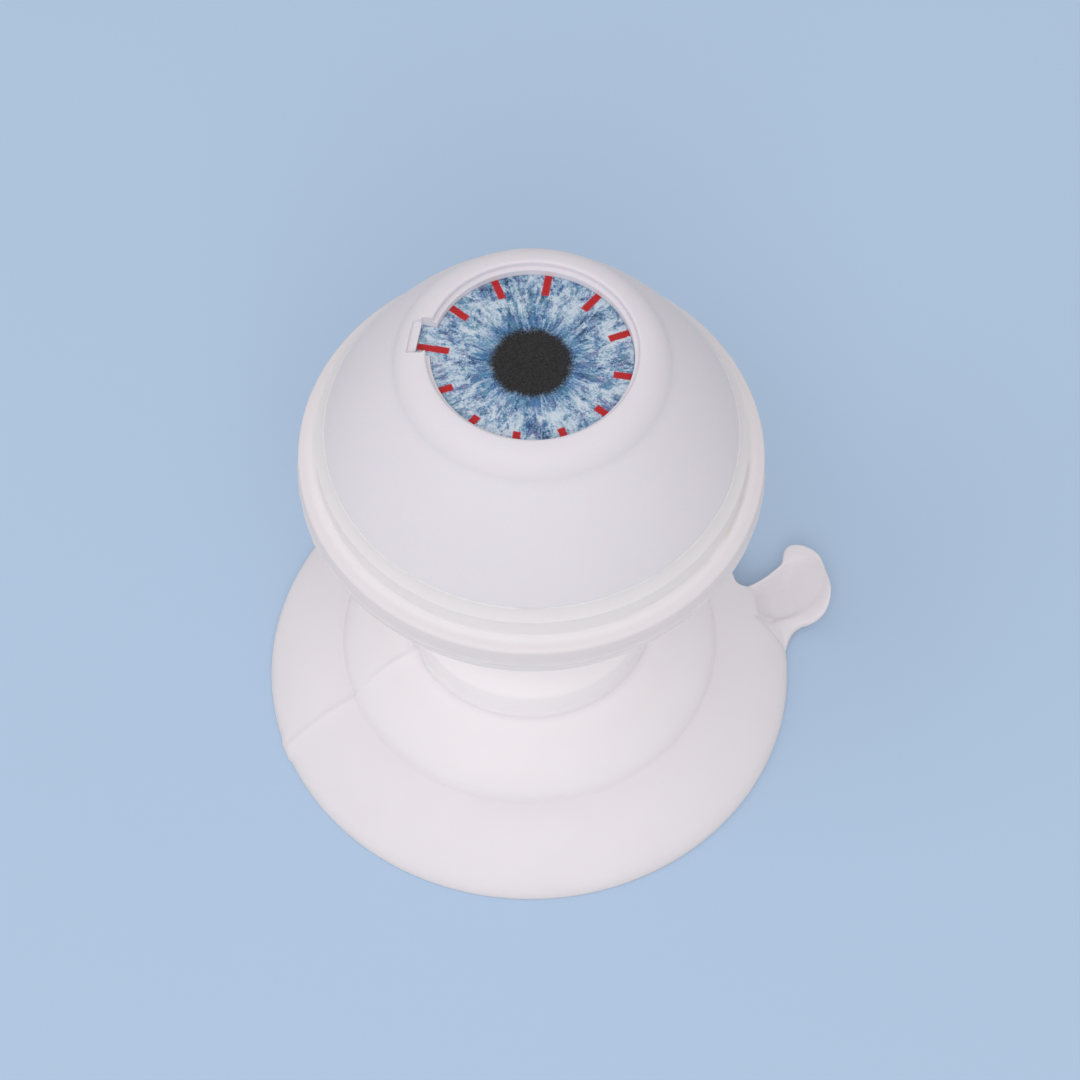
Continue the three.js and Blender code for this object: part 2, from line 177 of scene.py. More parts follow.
class EyeSizes(bpy.types.PropertyGroup):
    """Sizes of the hard shell and of the iris disc."""
    lip_squeeze: length("Lip squeeze", "How far the lip presses on the shell", 0.02 * MM)
    opening_radius: length("Opening radius", "Radius of the opening over the iris", 6.02 * MM)
    ledge_radius: length("Ledge radius", "Radius of the ledge inside the opening", 5.78 * MM)
    ledge_depth: length("Ledge depth", "Depth of the ledge under the opening's edge", 0.46 * MM)
    bump_radius: length("Bump radius", "Radius of the raised ring's section", 2.1 * MM)
    wall: length("Wall", "Thickness of the shell", 1.2 * MM)
    key_azimuth: turn("Key azimuth", "Direction of the disc's key and its slot", 153)
    key_width: length("Key width", "Width of the slot for the key", 2.25 * MM)
    key_reach: length("Key reach", "Radius that the slot's lower wall reaches", 6.55 * MM)
    key_top_reach: length("Key top reach", "Radius that the slot's upper wall reaches", 6.98 * MM)


class IrisLooks(bpy.types.PropertyGroup):
    """Sizes and colours of the printed iris."""
    print_offset: length("Print offset", "How far the print's middle lies off the eye's axis", 0.33 * MM)
    print_azimuth: turn("Print offset azimuth", "Direction in which the print lies off the axis", 241)
    pupil_radius: length("Pupil radius", "Radius of the printed pupil", 2.34 * MM)
    tick_width: length("Tick width", "Width of the clock ticks", 0.45 * MM)
    tick_start: length("Tick start", "Radius where the clock ticks start", 4.7 * MM)
    tick_azimuth: turn("Tick azimuth", "Direction of the first clock tick", 3.5)
    pale: colour("Pale", "Palest strokes of the print", 206, 216, 226)
    mist: colour("Mist", "Pale grey-blue of the print", 176, 195, 213)
    sky: colour("Sky", "Middle grey-blue of the print", 150, 175, 200)
    blue: colour("Blue", "Darker blue of the print", 98, 134, 172)
    navy: colour("Navy", "Dark patches of the print", 42, 54, 90)
    deep: colour("Deep blue", "Strong blue round the pupil", 62, 122, 172)
    violet: colour("Violet", "Violet-grey patches of the print", 122, 118, 162)
    teal: colour("Teal", "Green-blue patches of the print", 104, 152, 166)
    pupil: colour("Pupil", "Colour of the printed pupil", 33, 31, 33)
    tick: colour("Tick", "Colour of the clock ticks", 184, 32, 38)
    card: colour("Card", "Colour of the disc's unprinted sides and back", 222, 222, 220)


class FinishColours(bpy.types.PropertyGroup):
    """Colours of the other finishes."""
    silicone: colour("Silicone", "Colour of the thin flexible parts", 232, 227, 232)
    # Painted light: a paler silicone for the neck, the dome near the foot and the bowl's underside
    silicone_painted_light: colour("Thick silicone", "Colour of the thick flexible parts", 243, 238, 242)
    silicone_cream: colour("Creamy silicone", "Colour of the shoulder round the eye", 238, 234, 236)
    # Painted shade: a darker silicone for the shoulder's side wall and, at a lower share, the lip
    silicone_side_shade: colour("Lip silicone", "Colour of the lip and of the shoulder's side", 227, 221, 225)
    # Painted highlights: pale lines on the flash at the lip's inner and outer edges and under the shoulder
    lip_flash_highlight: colour("Lip line", "Colour of the pale line along the lip's inner edge", 250, 246, 250)
    corner_flash_highlight: colour("Corner line", "Colour of the pale line along the lip's outer edge", 246, 242, 246)
    band_flash_highlight: colour("Band line", "Colour of the pale line under the shoulder", 246, 242, 245)
    # A darker pinkish line along the groove, on the tab's side only
    groove_dark_line: colour("Groove stain", "Colour of the stain in the groove near the tab", 206, 190, 188)
    shell: colour("Shell", "Colour of the hard shell", 226, 221, 228)
    inner: colour("Inner plastic", "Colour of the inner parts", 222, 219, 222)
    rubber: colour("Seal rubber", "Colour of the seal ring", 58, 59, 62)
    talc: colour("Talc", "Colour of the talc on the seal ring", 120, 120, 122)
    brass: colour("Brass", "Colour of the threaded insert", 214, 180, 112)
    brass_tarnish: colour("Brass tarnish", "Colour of the brass where it has tarnished", 150, 116, 66)
    steel: colour("Steel", "Colour of the screw and washer", 196, 198, 202)
    steel_tarnish: colour("Steel tarnish", "Colour of the steel where it has dulled", 140, 142, 148)


class StageLooks(bpy.types.PropertyGroup):
    """Camera, floor and lamps."""
    camera_distance: length("Camera distance", "Distance from the aim point on the axis", 242.09 * MM)
    camera_aim: length("Aim height", "Height of the aim point on the axis", 15.62 * MM)
    camera_elevation: turn("Elevation", "Height of the camera above the table, as an angle", 58.275)
    camera_azimuth: turn("Azimuth", "Turn of the camera about the axis", -17.4)
    camera_yaw: turn("Yaw", "Turn of the view to the right of the axis", 0.254)
    camera_roll: turn("Roll", "Turn of the camera about its own view", 0.777)
    lens: FloatProperty(
        name="Lens", description="Focal length on a 36 mm sensor", default=133.33, min=1, unit="CAMERA")
    backdrop: colour("Backdrop", "Colour of the floor as the camera and reflections see it", 181, 204, 231)
    bounce: colour("Bounce", "Colour of the light that the floor throws back", 224, 224, 224)
    world_level: share("World level", "Strength of the even light from all round", 0.65)
    lamp_size: length("Lamp size", "Width of each soft lamp", 350 * MM)
    lamp_distance: length("Lamp distance", "Distance of each soft lamp from the object", 600 * MM)
    lamp_elevation: turn("Lamp elevation", "Height of the soft lamps, as an angle", 50)
    front_watts: power("Front power", "Power of the lamp in front", 1.0)
    side_watts: power("Side power", "Power of the lamp on the left", 0.42)
    side_azimuth: turn("Side azimuth", "Turn of the side lamp from the camera", -65)


class PracticeEye(bpy.types.PropertyGroup):
    """Every size and colour of the practice eye."""
    cup: PointerProperty(type=SuctionCupSizes)
    holder: PointerProperty(type=HolderSizes)
    eye: PointerProperty(type=EyeSizes)
    iris: PointerProperty(type=IrisLooks)
    finish: PointerProperty(type=FinishColours)
    stage: PointerProperty(type=StageLooks)


# Outlines: lists of (radius, height) corners, with an optional third value for a corner's rounding

def arc(centre, radius, start, end, steps):
    """Corners along an arc about a (radius, height) centre, from one angle to another in degrees."""
    angles = [math.radians(start + (end - start) * i / steps) for i in range(steps + 1)]
    return [(centre[0] + radius * math.cos(a), centre[1] + radius * math.sin(a)) for a in angles]


def bulged(start, end, bulge, steps):
    """Corners from start to end that stand off the chord by the bulge, to the left of the way."""
    chord = Vector(end) - Vector(start)
    side = Vector((-chord.y, chord.x)).normalized()
    shares = [i / steps for i in range(steps + 1)]
    return [tuple(Vector(start) + chord * t + side * (4 * bulge * t * (1 - t))) for t in shares]


def straight(start, end, steps):
    """Corners on a straight line between two corners, without the ends."""
    return bulged(start, end, 0, steps)[1:-1]


def draw_outline(bm, corners, closed):
    """Wire of the outline in the XZ plane, with its marked corners rounded."""
    verts = [bm.verts.new((corner[0], 0, corner[1])) for corner in corners]
    for start, end in zip(verts, verts[1:]):
        bm.edges.new((start, end))
    if closed:
        bm.edges.new((verts[-1], verts[0]))
    for vert, corner in zip(verts, corners):
        if len(corner) > 2:
            bmesh.ops.bevel(
                bm, geom=[vert], offset=corner[2], offset_type="OFFSET", affect="VERTICES",
                segments=ROUND_SEGMENTS, profile=0.5, material=-1)


def turned(corners, closed=True):
    """Solid of revolution about the Z axis from an outline."""
    bm = bmesh.new()
    draw_outline(bm, corners, closed)
    bmesh.ops.spin(
        bm, geom=bm.verts[:] + bm.edges[:], cent=(0, 0, 0), axis=(0, 0, 1), dvec=(0, 0, 0),
        angle=FULL_TURN, steps=TURN_STEPS, use_merge=True, use_duplicate=False)
    bmesh.ops.remove_doubles(bm, verts=bm.verts[:], dist=SAME_PLACE)
    bmesh.ops.recalc_face_normals(bm, faces=bm.faces[:])
    return bm


def raised(corners, bottom, top):
    """Prism from a flat outline of (x, y) corners, with an optional third value for a rounding."""
    bm = bmesh.new()
    verts = [bm.verts.new((corner[0], corner[1], bottom)) for corner in corners]
    bm.faces.new(verts)
    for vert, corner in zip(verts, corners):
        if len(corner) > 2:
            bmesh.ops.bevel(
                bm, geom=[vert], offset=corner[2], offset_type="OFFSET", affect="VERTICES",
                segments=2 * ROUND_SEGMENTS, profile=0.5, material=-1)
    lid = bmesh.ops.extrude_face_region(bm, geom=bm.faces[:])["geom"]
    lid_verts = [part for part in lid if isinstance(part, bmesh.types.BMVert)]
    bmesh.ops.translate(bm, verts=lid_verts, vec=(0, 0, top - bottom))
    bmesh.ops.recalc_face_normals(bm, faces=bm.faces[:])
    return bm


def evaluated(bm, kind, tool=None, **settings):
    """bm after one modifier of the given kind. A Boolean takes its other solid as tool."""
    things = []
    for source in filter(None, (bm, tool)):
        mesh = bpy.data.meshes.new("work")
        source.to_mesh(mesh)
        source.free()
        thing = bpy.data.objects.new("work", mesh)
        bpy.context.scene.collection.objects.link(thing)
        things.append(thing)
    modifier = things[0].modifiers.new("work", kind)
    if tool is not None:
        modifier.object = things[1]
    for name, value in settings.items():
        setattr(modifier, name, value)
    result = bmesh.new()
    result.from_object(things[0], bpy.context.evaluated_depsgraph_get())
    for thing in things:
        mesh = thing.data
        bpy.data.objects.remove(thing)
        bpy.data.meshes.remove(mesh)
    return result


def cut_away(bm, tool):
    """bm without the room that the tool takes up."""
    return evaluated(bm, "BOOLEAN", tool, operation="DIFFERENCE", solver="EXACT")


def joined(bm, other):
    """One solid of both."""
    return evaluated(bm, "BOOLEAN", other, operation="UNION", solver="EXACT")


def turn_about_axis(bm, matrix):
    """Turns the whole mesh by a rotation about the Z axis."""
    bmesh.ops.rotate(bm, verts=bm.verts[:], cent=(0, 0, 0), matrix=matrix)


def finish_piece(name, bm, material, body, nodes):
    """The mesh, made about the Z axis, becomes a piece on the eye's axis.

    It has the named material, stands for the CAD nodes and rides on the body, where one is given.
    """
    bmesh.ops.translate(bm, verts=bm.verts[:], vec=AXIS)
    mesh = bpy.data.meshes.new(name)
    bm.to_mesh(mesh)
    bm.free()
    mesh.materials.append(bpy.data.materials[material])
    mesh.shade_smooth()
    mesh.set_sharp_from_angle(angle=SHARP_ANGLE)
    piece = bpy.data.objects.new(name, mesh)
    bpy.context.scene.collection.objects.link(piece)
    if body:
        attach(piece, body)
    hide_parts(*nodes)
    return piece


# Node helpers

def add(tree, kind, inputs=(), **settings):
    """New node with its settings, and its inputs set to values or linked to sockets."""
    made = tree.nodes.new(kind)
    for name, value in settings.items():
        setattr(made, name, value)
    for key, value in dict(inputs).items():
        socket = made.inputs[key]
        if isinstance(value, bpy.types.NodeSocket):
            tree.links.new(value, socket)
        else:
            socket.default_value = value
    return made


def calc(tree, operation, *values):
    """Output of a Math node with numbers or sockets as its inputs."""
    return add(tree, "ShaderNodeMath", enumerate(values), operation=operation).outputs[0]


def vector_calc(tree, operation, *values):
    """Vector from a Vector Math node with vectors or sockets as its inputs."""
    return add(tree, "ShaderNodeVectorMath", enumerate(values), operation=operation).outputs["Vector"]


def blend_colours(tree, factor, first, second):
    """Colour that goes from the first to the second as the factor goes from 0 to 1."""
    factor_input, first_input, second_input, colour_output = 0, 6, 7, 2
    mix = add(
        tree, "ShaderNodeMix", {factor_input: factor, first_input: first, second_input: second},
        data_type="RGBA", clamp_result=True)
    return mix.outputs[colour_output]


def solid(colour_value):
    """The colour with a full alpha."""
    return (*colour_value, 1)


def ramp(tree, factor, *stops):
    """Colour ramp with (place, colour) stops."""
    made = add(tree, "ShaderNodeValToRGB", {"Fac": factor})
    points = made.color_ramp.elements
    while len(points) < len(stops):
        points.new(1)
    for point, (place, value) in zip(points, stops):
        point.position = place
        point.color = solid(value)
    return made.outputs["Color"]


def fade(tree, value, low, high):
    """0 below low, 1 above high and smooth between; low above high turns it round."""
    made = add(
        tree, "ShaderNodeMapRange", {"Value": value, "From Min": low, "From Max": high},
        interpolation_type="SMOOTHSTEP")
    return made.outputs["Result"]


def cloud(tree, vector, scale, detail=2.0, roughness=0.5, distortion=0.0):
    """Cloudy noise from 0 to 1; scale is about how many lumps there are in one unit of the vector."""
    made = add(
        tree, "ShaderNodeTexNoise",
        {"Vector": vector, "Scale": scale, "Detail": detail, "Roughness": roughness,
         "Distortion": distortion})
    return made.outputs["Fac"]


def new_group(name, inputs, outputs):
    """Empty shader node group with (label, kind, default) inputs and (label, kind) outputs."""
    tree = bpy.data.node_groups.new(name, "ShaderNodeTree")
    for label, kind, default in inputs:
        socket = tree.interface.new_socket(label, in_out="INPUT", socket_type="NodeSocket" + kind)
        if default is not None:
            socket.default_value = default
    for label, kind in outputs:
        tree.interface.new_socket(label, in_out="OUTPUT", socket_type="NodeSocket" + kind)
    return tree, tree.nodes.new("NodeGroupInput").outputs, tree.nodes.new("NodeGroupOutput").inputs


def use_group(tree, name, **inputs):
    """Outputs of the named group, with its inputs set by name."""
    labelled = {label.replace("_", " ").capitalize(): value for label, value in inputs.items()}
    return add(tree, "ShaderNodeGroup", labelled, node_tree=bpy.data.node_groups[name]).outputs


def flat_radius(tree, place):
    """The place without its height, and its distance from the axis."""
    flat = vector_calc(tree, "MULTIPLY", place, (1, 1, 0))
    radius = add(tree, "ShaderNodeVectorMath", {0: flat}, operation="LENGTH").outputs["Value"]
    return flat, radius


def axis_part(tree, vector, axis):
    """The part of a vector along X, Y or Z."""
    return add(tree, "ShaderNodeSeparateXYZ", {0: vector}).outputs[axis]


def eye_place_group():
    """Place in millimetres from the eye's axis, with the distance from the axis and the direction."""
    tree, given, out = new_group(
        "Eye Place", [("Offset", "Vector", None)],
        [("Place", "Vector"), ("Radius", "Float"), ("Direction", "Vector")])
    coordinates = add(tree, "ShaderNodeTexCoord").outputs["Object"]
    centred = vector_calc(tree, "SUBTRACT", coordinates, AXIS)
    scaled = vector_calc(tree, "MULTIPLY", centred, (1 / MM,) * 3)
    place = vector_calc(tree, "SUBTRACT", scaled, given["Offset"])
    flat, radius = flat_radius(tree, place)
    tree.links.new(place, out["Place"])
    tree.links.new(radius, out["Radius"])
    tree.links.new(vector_calc(tree, "NORMALIZE", flat), out["Direction"])


def grain_group():
    """Fine mould grain, sparse specks and slow drifts of tone. Sizes and the place are in millimetres."""
    tree, given, out = new_group(
        "Mould Grain",
        [("Place", "Vector", None), ("Grain size", "Float", 0.1), ("Drift size", "Float", 6.0)],
        [("Height", "Float"), ("Drift", "Float"), ("Speck", "Float")])
    specks_per_grain = 2.6
    place = given["Place"]
    fine = cloud(tree, place, calc(tree, "DIVIDE", 1.0, given["Grain size"]), detail=3.0, roughness=0.6)
    drift = cloud(tree, place, calc(tree, "DIVIDE", 1.0, given["Drift size"]), detail=2.0)
    speck = cloud(
        tree, place, calc(tree, "DIVIDE", specks_per_grain, given["Grain size"]), detail=1.0)
    tree.links.new(fine, out["Height"])
    tree.links.new(drift, out["Drift"])
    tree.links.new(speck, out["Speck"])


def ring_line_group():
    """Broken line round the axis, such as a painted highlight on the flash along an edge. Measures are in
    millimetres.
    """
    tree, given, out = new_group(
        "Ring Line",
        [("Place", "Vector", None), ("Radius", "Float", 1.0), ("Height", "Float", 1.0),
         ("Width", "Float", 0.1), ("Gaps", "Float", 0.5)],
        [("Mask", "Float")])
    gap_softness = 0.12
    height = axis_part(tree, given["Place"], "Z")
    flat, radius = flat_radius(tree, given["Place"])
    wobble = calc(tree, "SUBTRACT", cloud(tree, flat, scale=1.1, detail=3.0), 0.5)
    wander = calc(tree, "MULTIPLY", wobble, given["Width"])
    off_radius = calc(tree, "SUBTRACT", radius, given["Radius"])
    off_height = calc(tree, "ADD", calc(tree, "SUBTRACT", height, given["Height"]), wander)
    squares = [
        calc(tree, "POWER", calc(tree, "ABSOLUTE", off), 2.0) for off in (off_radius, off_height)]
    distance = calc(tree, "SQRT", calc(tree, "ADD", *squares))
    near = fade(tree, distance, given["Width"], 0.0)
    stretches = cloud(tree, flat, scale=0.17, detail=2.0)
    shown = fade(tree, stretches, given["Gaps"], calc(tree, "ADD", given["Gaps"], gap_softness))
    tree.links.new(calc(tree, "MULTIPLY", near, shown), out["Mask"])


def new_material(name, roughness, metallic=0.0, **constants):
    """Material with one Principled BSDF; constants go on the shader's own sockets."""
    material = bpy.data.materials.new(name)
    material.use_nodes = True
    tree = material.node_tree
    shader = tree.nodes["Principled BSDF"]
    shader.inputs["Roughness"].default_value = roughness
    shader.inputs["Metallic"].default_value = metallic
    for label, value in constants.items():
        shader.inputs[label.replace("_", " ").title().replace("Ior", "IOR")].default_value = value
    return material, tree, shader


def bump(tree, shader, height, depth):
    """Bump of the given depth in metres on the shader's normal."""
    made = add(tree, "ShaderNodeBump", {"Height": height, "Distance": depth, "Strength": 1.0})
    tree.links.new(made.outputs["Normal"], shader.inputs["Normal"])


def vary_roughness(tree, shader, value, low, high):
    """Roughness that goes from low to high as the value goes from 0 to 1."""
    made = add(tree, "ShaderNodeMapRange", {"Value": value, "To Min": low, "To Max": high})
    tree.links.new(made.outputs["Result"], shader.inputs["Roughness"])


def toned(tree, base, drift, amount):
    """Base colour with its lightness moved up and down by a drift mask."""
    dark = [value * (1 - amount) for value in base]
    light = [min(1, value * (1 + amount)) for value in base]
    return blend_colours(tree, drift, solid(dark), solid(light))


def silicone_masks(tree, eye):
    """Masks of the painted light under the bowl, of the shoulder, and of the painted shade on the
    shoulder's side and the lip, by radius and height in millimetres.
    """
    radius = eye["Radius"]
    height = axis_part(tree, eye["Place"], "Z")
    # Painted light: paler on the dome near the foot, on the neck and on the bowl's downward faces
    dome = calc(tree, "MULTIPLY", fade(tree, radius, 12.1, 11.3), 0.45)
    stem = calc(tree, "MULTIPLY", fade(tree, radius, 9.6, 7.4), 0.55)
    below_bowl = calc(tree, "MULTIPLY", calc(tree, "ADD", dome, stem), fade(tree, height, 22.0, 18.0))
    bowl = calc(tree, "MULTIPLY", fade(tree, height, 12.0, 17.0), fade(tree, height, 24.3, 23.7))
    painted_light_mask = calc(tree, "MAXIMUM", below_bowl, calc(tree, "MULTIPLY", bowl, 0.8))
    shoulder = calc(tree, "MULTIPLY", fade(tree, height, 23.6, 24.4), 0.9)
    # Painted shade on the shoulder's side wall and on the lip
    side = calc(tree, "MULTIPLY", fade(tree, radius, 12.85, 13.4), fade(tree, height, 23.9, 24.1))
    lip = calc(tree, "MULTIPLY", fade(tree, height, 26.9, 27.2), 0.6)
    return painted_light_mask, shoulder, calc(tree, "MAXIMUM", side, lip)


def silicone_material(finish, holder):
    """Satin white silicone, a little translucent, with painted highlights on the flash along the moulded
    edges, painted light under the bowl and painted shade on the shoulder's side and lip.
    """
    material, tree, shader = new_material(
        "Silicone", roughness=0.48, subsurface_weight=0.3, subsurface_scale=1.2 * MM, ior=1.41)
    shader.inputs["Subsurface Radius"].default_value = (1.0, 0.93, 0.9)
    eye = use_group(tree, "Eye Place")
    place = eye["Place"]
    grain = use_group(tree, "Mould Grain", place=place, grain_size=0.16, drift_size=5.0)
    base = toned(tree, finish.silicone, grain["Drift"], amount=0.035)
    # Painted light under the bowl, the shoulder's creamy tone, then painted shade on the side and the lip
    tints = (finish.silicone_painted_light, finish.silicone_cream, finish.silicone_side_shade)
    for mask, tint in zip(silicone_masks(tree, eye), tints):
        base = blend_colours(tree, mask, base, solid(tint))
    tab_side = fade(tree, axis_part(tree, eye["Direction"], "X"), 0.4, 0.8)
    # Share of the darker groove line, only on the tab's side
    tinted = calc(tree, "MULTIPLY", tab_side, 0.45)
    corner = holder.lip_top - holder.lip_slope
    band = holder.flash_low + 0.08 * MM
    groove = holder.groove_radius + 0.1 * MM
    # Pale lines painted as highlights on the flash, then a darker line in the groove on the tab's side
    for radius, height, width, gaps, tint, amount in (
            (holder.lip_inner + 0.02 * MM, holder.lip_top, 0.15, 0.32, finish.lip_flash_highlight, 0.85),
            (holder.lip_outer, corner, 0.1, 0.5, finish.corner_flash_highlight, 0.35),
            (BOWL_BAND_RADIUS, band, 0.12, 0.5, finish.band_flash_highlight, 0.4),
            (groove, holder.ledge_height, 0.24, 0.42, finish.groove_dark_line, tinted)):
        line = use_group(
            tree, "Ring Line", place=place, radius=radius / MM, height=height / MM, width=width, gaps=gaps)
        base = blend_colours(tree, calc(tree, "MULTIPLY", line["Mask"], amount), base, solid(tint))
    tree.links.new(base, shader.inputs["Base Color"])
    vary_roughness(tree, shader, grain["Height"], low=0.42, high=0.56)
    bump(tree, shader, grain["Height"], depth=0.006 * MM)
    return material


def plastic_material(name, base, roughness, grain_size, depth):
    """Matte moulded plastic with fine spark grain."""
    material, tree, shader = new_material(
        name, roughness, subsurface_weight=0.12, subsurface_scale=0.6 * MM)
    place = use_group(tree, "Eye Place")["Place"]
    grain = use_group(tree, "Mould Grain", place=place, grain_size=grain_size, drift_size=7.0)
    body = toned(tree, base, grain["Drift"], amount=0.02)
    speck = calc(tree, "MULTIPLY", fade(tree, grain["Speck"], 0.62, 0.78), 0.12)
    speck_colour = [value * 0.82 for value in base]
    body = blend_colours(tree, speck, body, solid(speck_colour))
    tree.links.new(body, shader.inputs["Base Color"])
    vary_roughness(tree, shader, grain["Height"], roughness - 0.06, roughness + 0.08)
    bump(tree, shader, grain["Height"], depth)
    return material


def rubber_material(base, talc):
    """Matte black rubber with a dusting of pale talc."""
    material, tree, shader = new_material("Seal Rubber", roughness=0.7)
    place = use_group(tree, "Eye Place")["Place"]
    grain = use_group(tree, "Mould Grain", place=place, grain_size=0.12, drift_size=2.5)
    dust = calc(tree, "MULTIPLY", fade(tree, grain["Drift"], 0.45, 0.7), 0.25)
    body = blend_colours(tree, dust, solid(base), solid(talc))
    tree.links.new(body, shader.inputs["Base Color"])
    bump(tree, shader, grain["Height"], depth=0.008 * MM)
    return material


def metal_material(name, base, tarnish, roughness):
    """Turned metal with fine rings about the axis and a slight tarnish."""
    material, tree, shader = new_material(name, roughness, metallic=1.0)
    eye = use_group(tree, "Eye Place")
    grain = use_group(tree, "Mould Grain", place=eye["Place"], grain_size=0.3, drift_size=1.8)
    rings = add(tree, "ShaderNodeCombineXYZ", {"X": eye["Radius"]}).outputs["Vector"]
    lines = cloud(tree, rings, scale=14.0, detail=2.0)
    tinted = calc(tree, "MULTIPLY", fade(tree, grain["Drift"], 0.5, 0.75), 0.5)
    body = blend_colours(tree, tinted, solid(base), solid(tarnish))
    tree.links.new(body, shader.inputs["Base Color"])
    vary_roughness(tree, shader, lines, roughness - 0.08, roughness + 0.14)
    bump(tree, shader, lines, depth=0.004 * MM)
    return material


def fibres_group():
    """Streaks that run out from the axis.

    Across sets how many there are side by side, and Along how often they change on the way out.
    """
    tree, given, out = new_group(
        "Iris Fibres",
        [("Direction", "Vector", None), ("Radius", "Float", 1.0), ("Across", "Float", 8.0),
         ("Along", "Float", 0.5), ("Offset", "Float", 0.0), ("Waviness", "Float", 0.3),
         ("Detail", "Float", 3.0)],
        [("Value", "Float")])
    around = add(
        tree, "ShaderNodeVectorMath", {0: given["Direction"], "Scale": given["Across"]},
        operation="SCALE").outputs["Vector"]
    way_out = calc(tree, "ADD", calc(tree, "MULTIPLY", given["Radius"], given["Along"]), given["Offset"])
    outward = add(tree, "ShaderNodeCombineXYZ", {"Z": way_out}).outputs["Vector"]
    place = vector_calc(tree, "ADD", around, outward)
    value = cloud(tree, place, 1.0, given["Detail"], 0.6, given["Waviness"])
    tree.links.new(value, out["Value"])


def about_middle(tree, value, weight):
    """How far the value is from one half, times the weight."""
    return calc(tree, "MULTIPLY", calc(tree, "SUBTRACT", value, 0.5), weight)


def clock_tick_mask(tree, looks, eye, dots):
    """Mask of the clock ticks: straight bars outside a radius, with slightly ragged edges."""
    radius, direction = eye["Radius"], eye["Direction"]
    azimuth = calc(tree, "ARCTAN2", axis_part(tree, direction, "Y"), axis_part(tree, direction, "X"))
    spacing = FULL_TURN / CLOCK_TICKS
    turned_by = calc(tree, "SUBTRACT", azimuth, looks.tick_azimuth - spacing / 2)
    to_tick = calc(tree, "SUBTRACT", calc(tree, "FLOORED_MODULO", turned_by, spacing), spacing / 2)
    across = calc(tree, "MULTIPLY", calc(tree, "ABSOLUTE", calc(tree, "SINE", to_tick)), radius)
    ragged_across = calc(tree, "ADD", across, about_middle(tree, dots, 0.14))
    ragged_radius = calc(tree, "ADD", radius, about_middle(tree, dots, 0.12))
    half = looks.tick_width / MM / 2
    start = looks.tick_start / MM
    soft = 0.04
    return calc(
        tree, "MULTIPLY", fade(tree, ragged_across, half + soft, half - soft),
        fade(tree, ragged_radius, start - soft, start + soft))


def iris_print_material(looks):
    """Printed iris: wavy blue strokes, a dark pupil with a ragged edge and twelve red clock ticks."""
    material, tree, shader = new_material("Iris Print", roughness=0.55, specular_ior_level=0.35)
    offset = Matrix.Rotation(looks.print_azimuth, 3, "Z") @ Vector((looks.print_offset / MM, 0, 0))
    eye = use_group(tree, "Eye Place", offset=offset)
    place, radius = eye["Place"], eye["Radius"]

    def fibres(across, along, shift, waviness, detail=3.0):
        """Streaks of the print. The shift keeps one kind of streak from looking like another."""
        return use_group(
            tree, "Iris Fibres", direction=eye["Direction"], radius=radius, across=across, along=along,
            offset=shift, waviness=waviness, detail=detail)["Value"]

    blotches = cloud(tree, place, scale=0.8, detail=3.0, roughness=0.62, distortion=0.8)
    bands = fibres(across=7.5, along=0.65, shift=17.0, waviness=1.5)
    strands = fibres(across=16.0, along=1.3, shift=31.0, waviness=1.6, detail=2.0)
    worms = cloud(tree, place, scale=3.4, detail=2.0, roughness=0.6, distortion=1.5)
    dots = cloud(tree, place, scale=9.5, detail=3.0, roughness=0.85)
    tone = about_middle(tree, blotches, 1.0)
    for strokes, weight in ((bands, 1.6), (strands, 0.6), (worms, 0.7), (dots, 1.35)):
        tone = calc(tree, "ADD", tone, about_middle(tree, strokes, weight))
    near_pupil = fade(tree, radius, 4.0, 2.3)
    tone = calc(tree, "SUBTRACT", tone, calc(tree, "MULTIPLY", near_pupil, 0.24))
    light = fade(tree, tone, -0.515, 0.485)
    base = ramp(
        tree, light, (0.0, looks.navy), (0.23, looks.blue), (0.43, looks.sky), (0.62, looks.mist),
        (1.0, looks.pale))
    dark_half = fade(tree, light, 0.85, 0.3)
    for across, shift, tint, weight in (
            (6.0, 57.0, looks.violet, 0.75), (5.0, 83.0, looks.teal, 0.6), (4.0, 109.0, looks.deep, 0.45)):
        patch = fade(tree, fibres(across, along=0.9, shift=shift, waviness=1.2), 0.5, 0.64)
        patch = calc(tree, "MULTIPLY", calc(tree, "MULTIPLY", patch, dark_half), weight)
        base = blend_colours(tree, patch, base, solid(tint))
    base = blend_colours(tree, calc(tree, "MULTIPLY", near_pupil, 0.42), base, solid(looks.deep))
    rough_edge = calc(tree, "ADD", about_middle(tree, dots, 0.9), about_middle(tree, blotches, 0.5))
    pupil_edge = calc(tree, "ADD", radius, rough_edge)
    pupil_size = looks.pupil_radius / MM
    inside = fade(tree, pupil_edge, pupil_size + 0.3, pupil_size - 0.26)
    pupil = toned(tree, looks.pupil, fade(tree, dots, 0.3, 0.7), amount=0.9)
    base = blend_colours(tree, inside, base, pupil)
    tick = clock_tick_mask(tree, looks, eye, dots)
    base = blend_colours(tree, tick, base, toned(tree, looks.tick, dots, amount=0.4))
    face_height = disc_high.z / MM - 0.02
    face = calc(tree, "GREATER_THAN", axis_part(tree, place, "Z"), face_height)
    base = blend_colours(tree, face, solid(looks.card), base)
    tree.links.new(base, shader.inputs["Base Color"])
    bump(tree, shader, dots, depth=0.003 * MM)
    return material


# Pieces

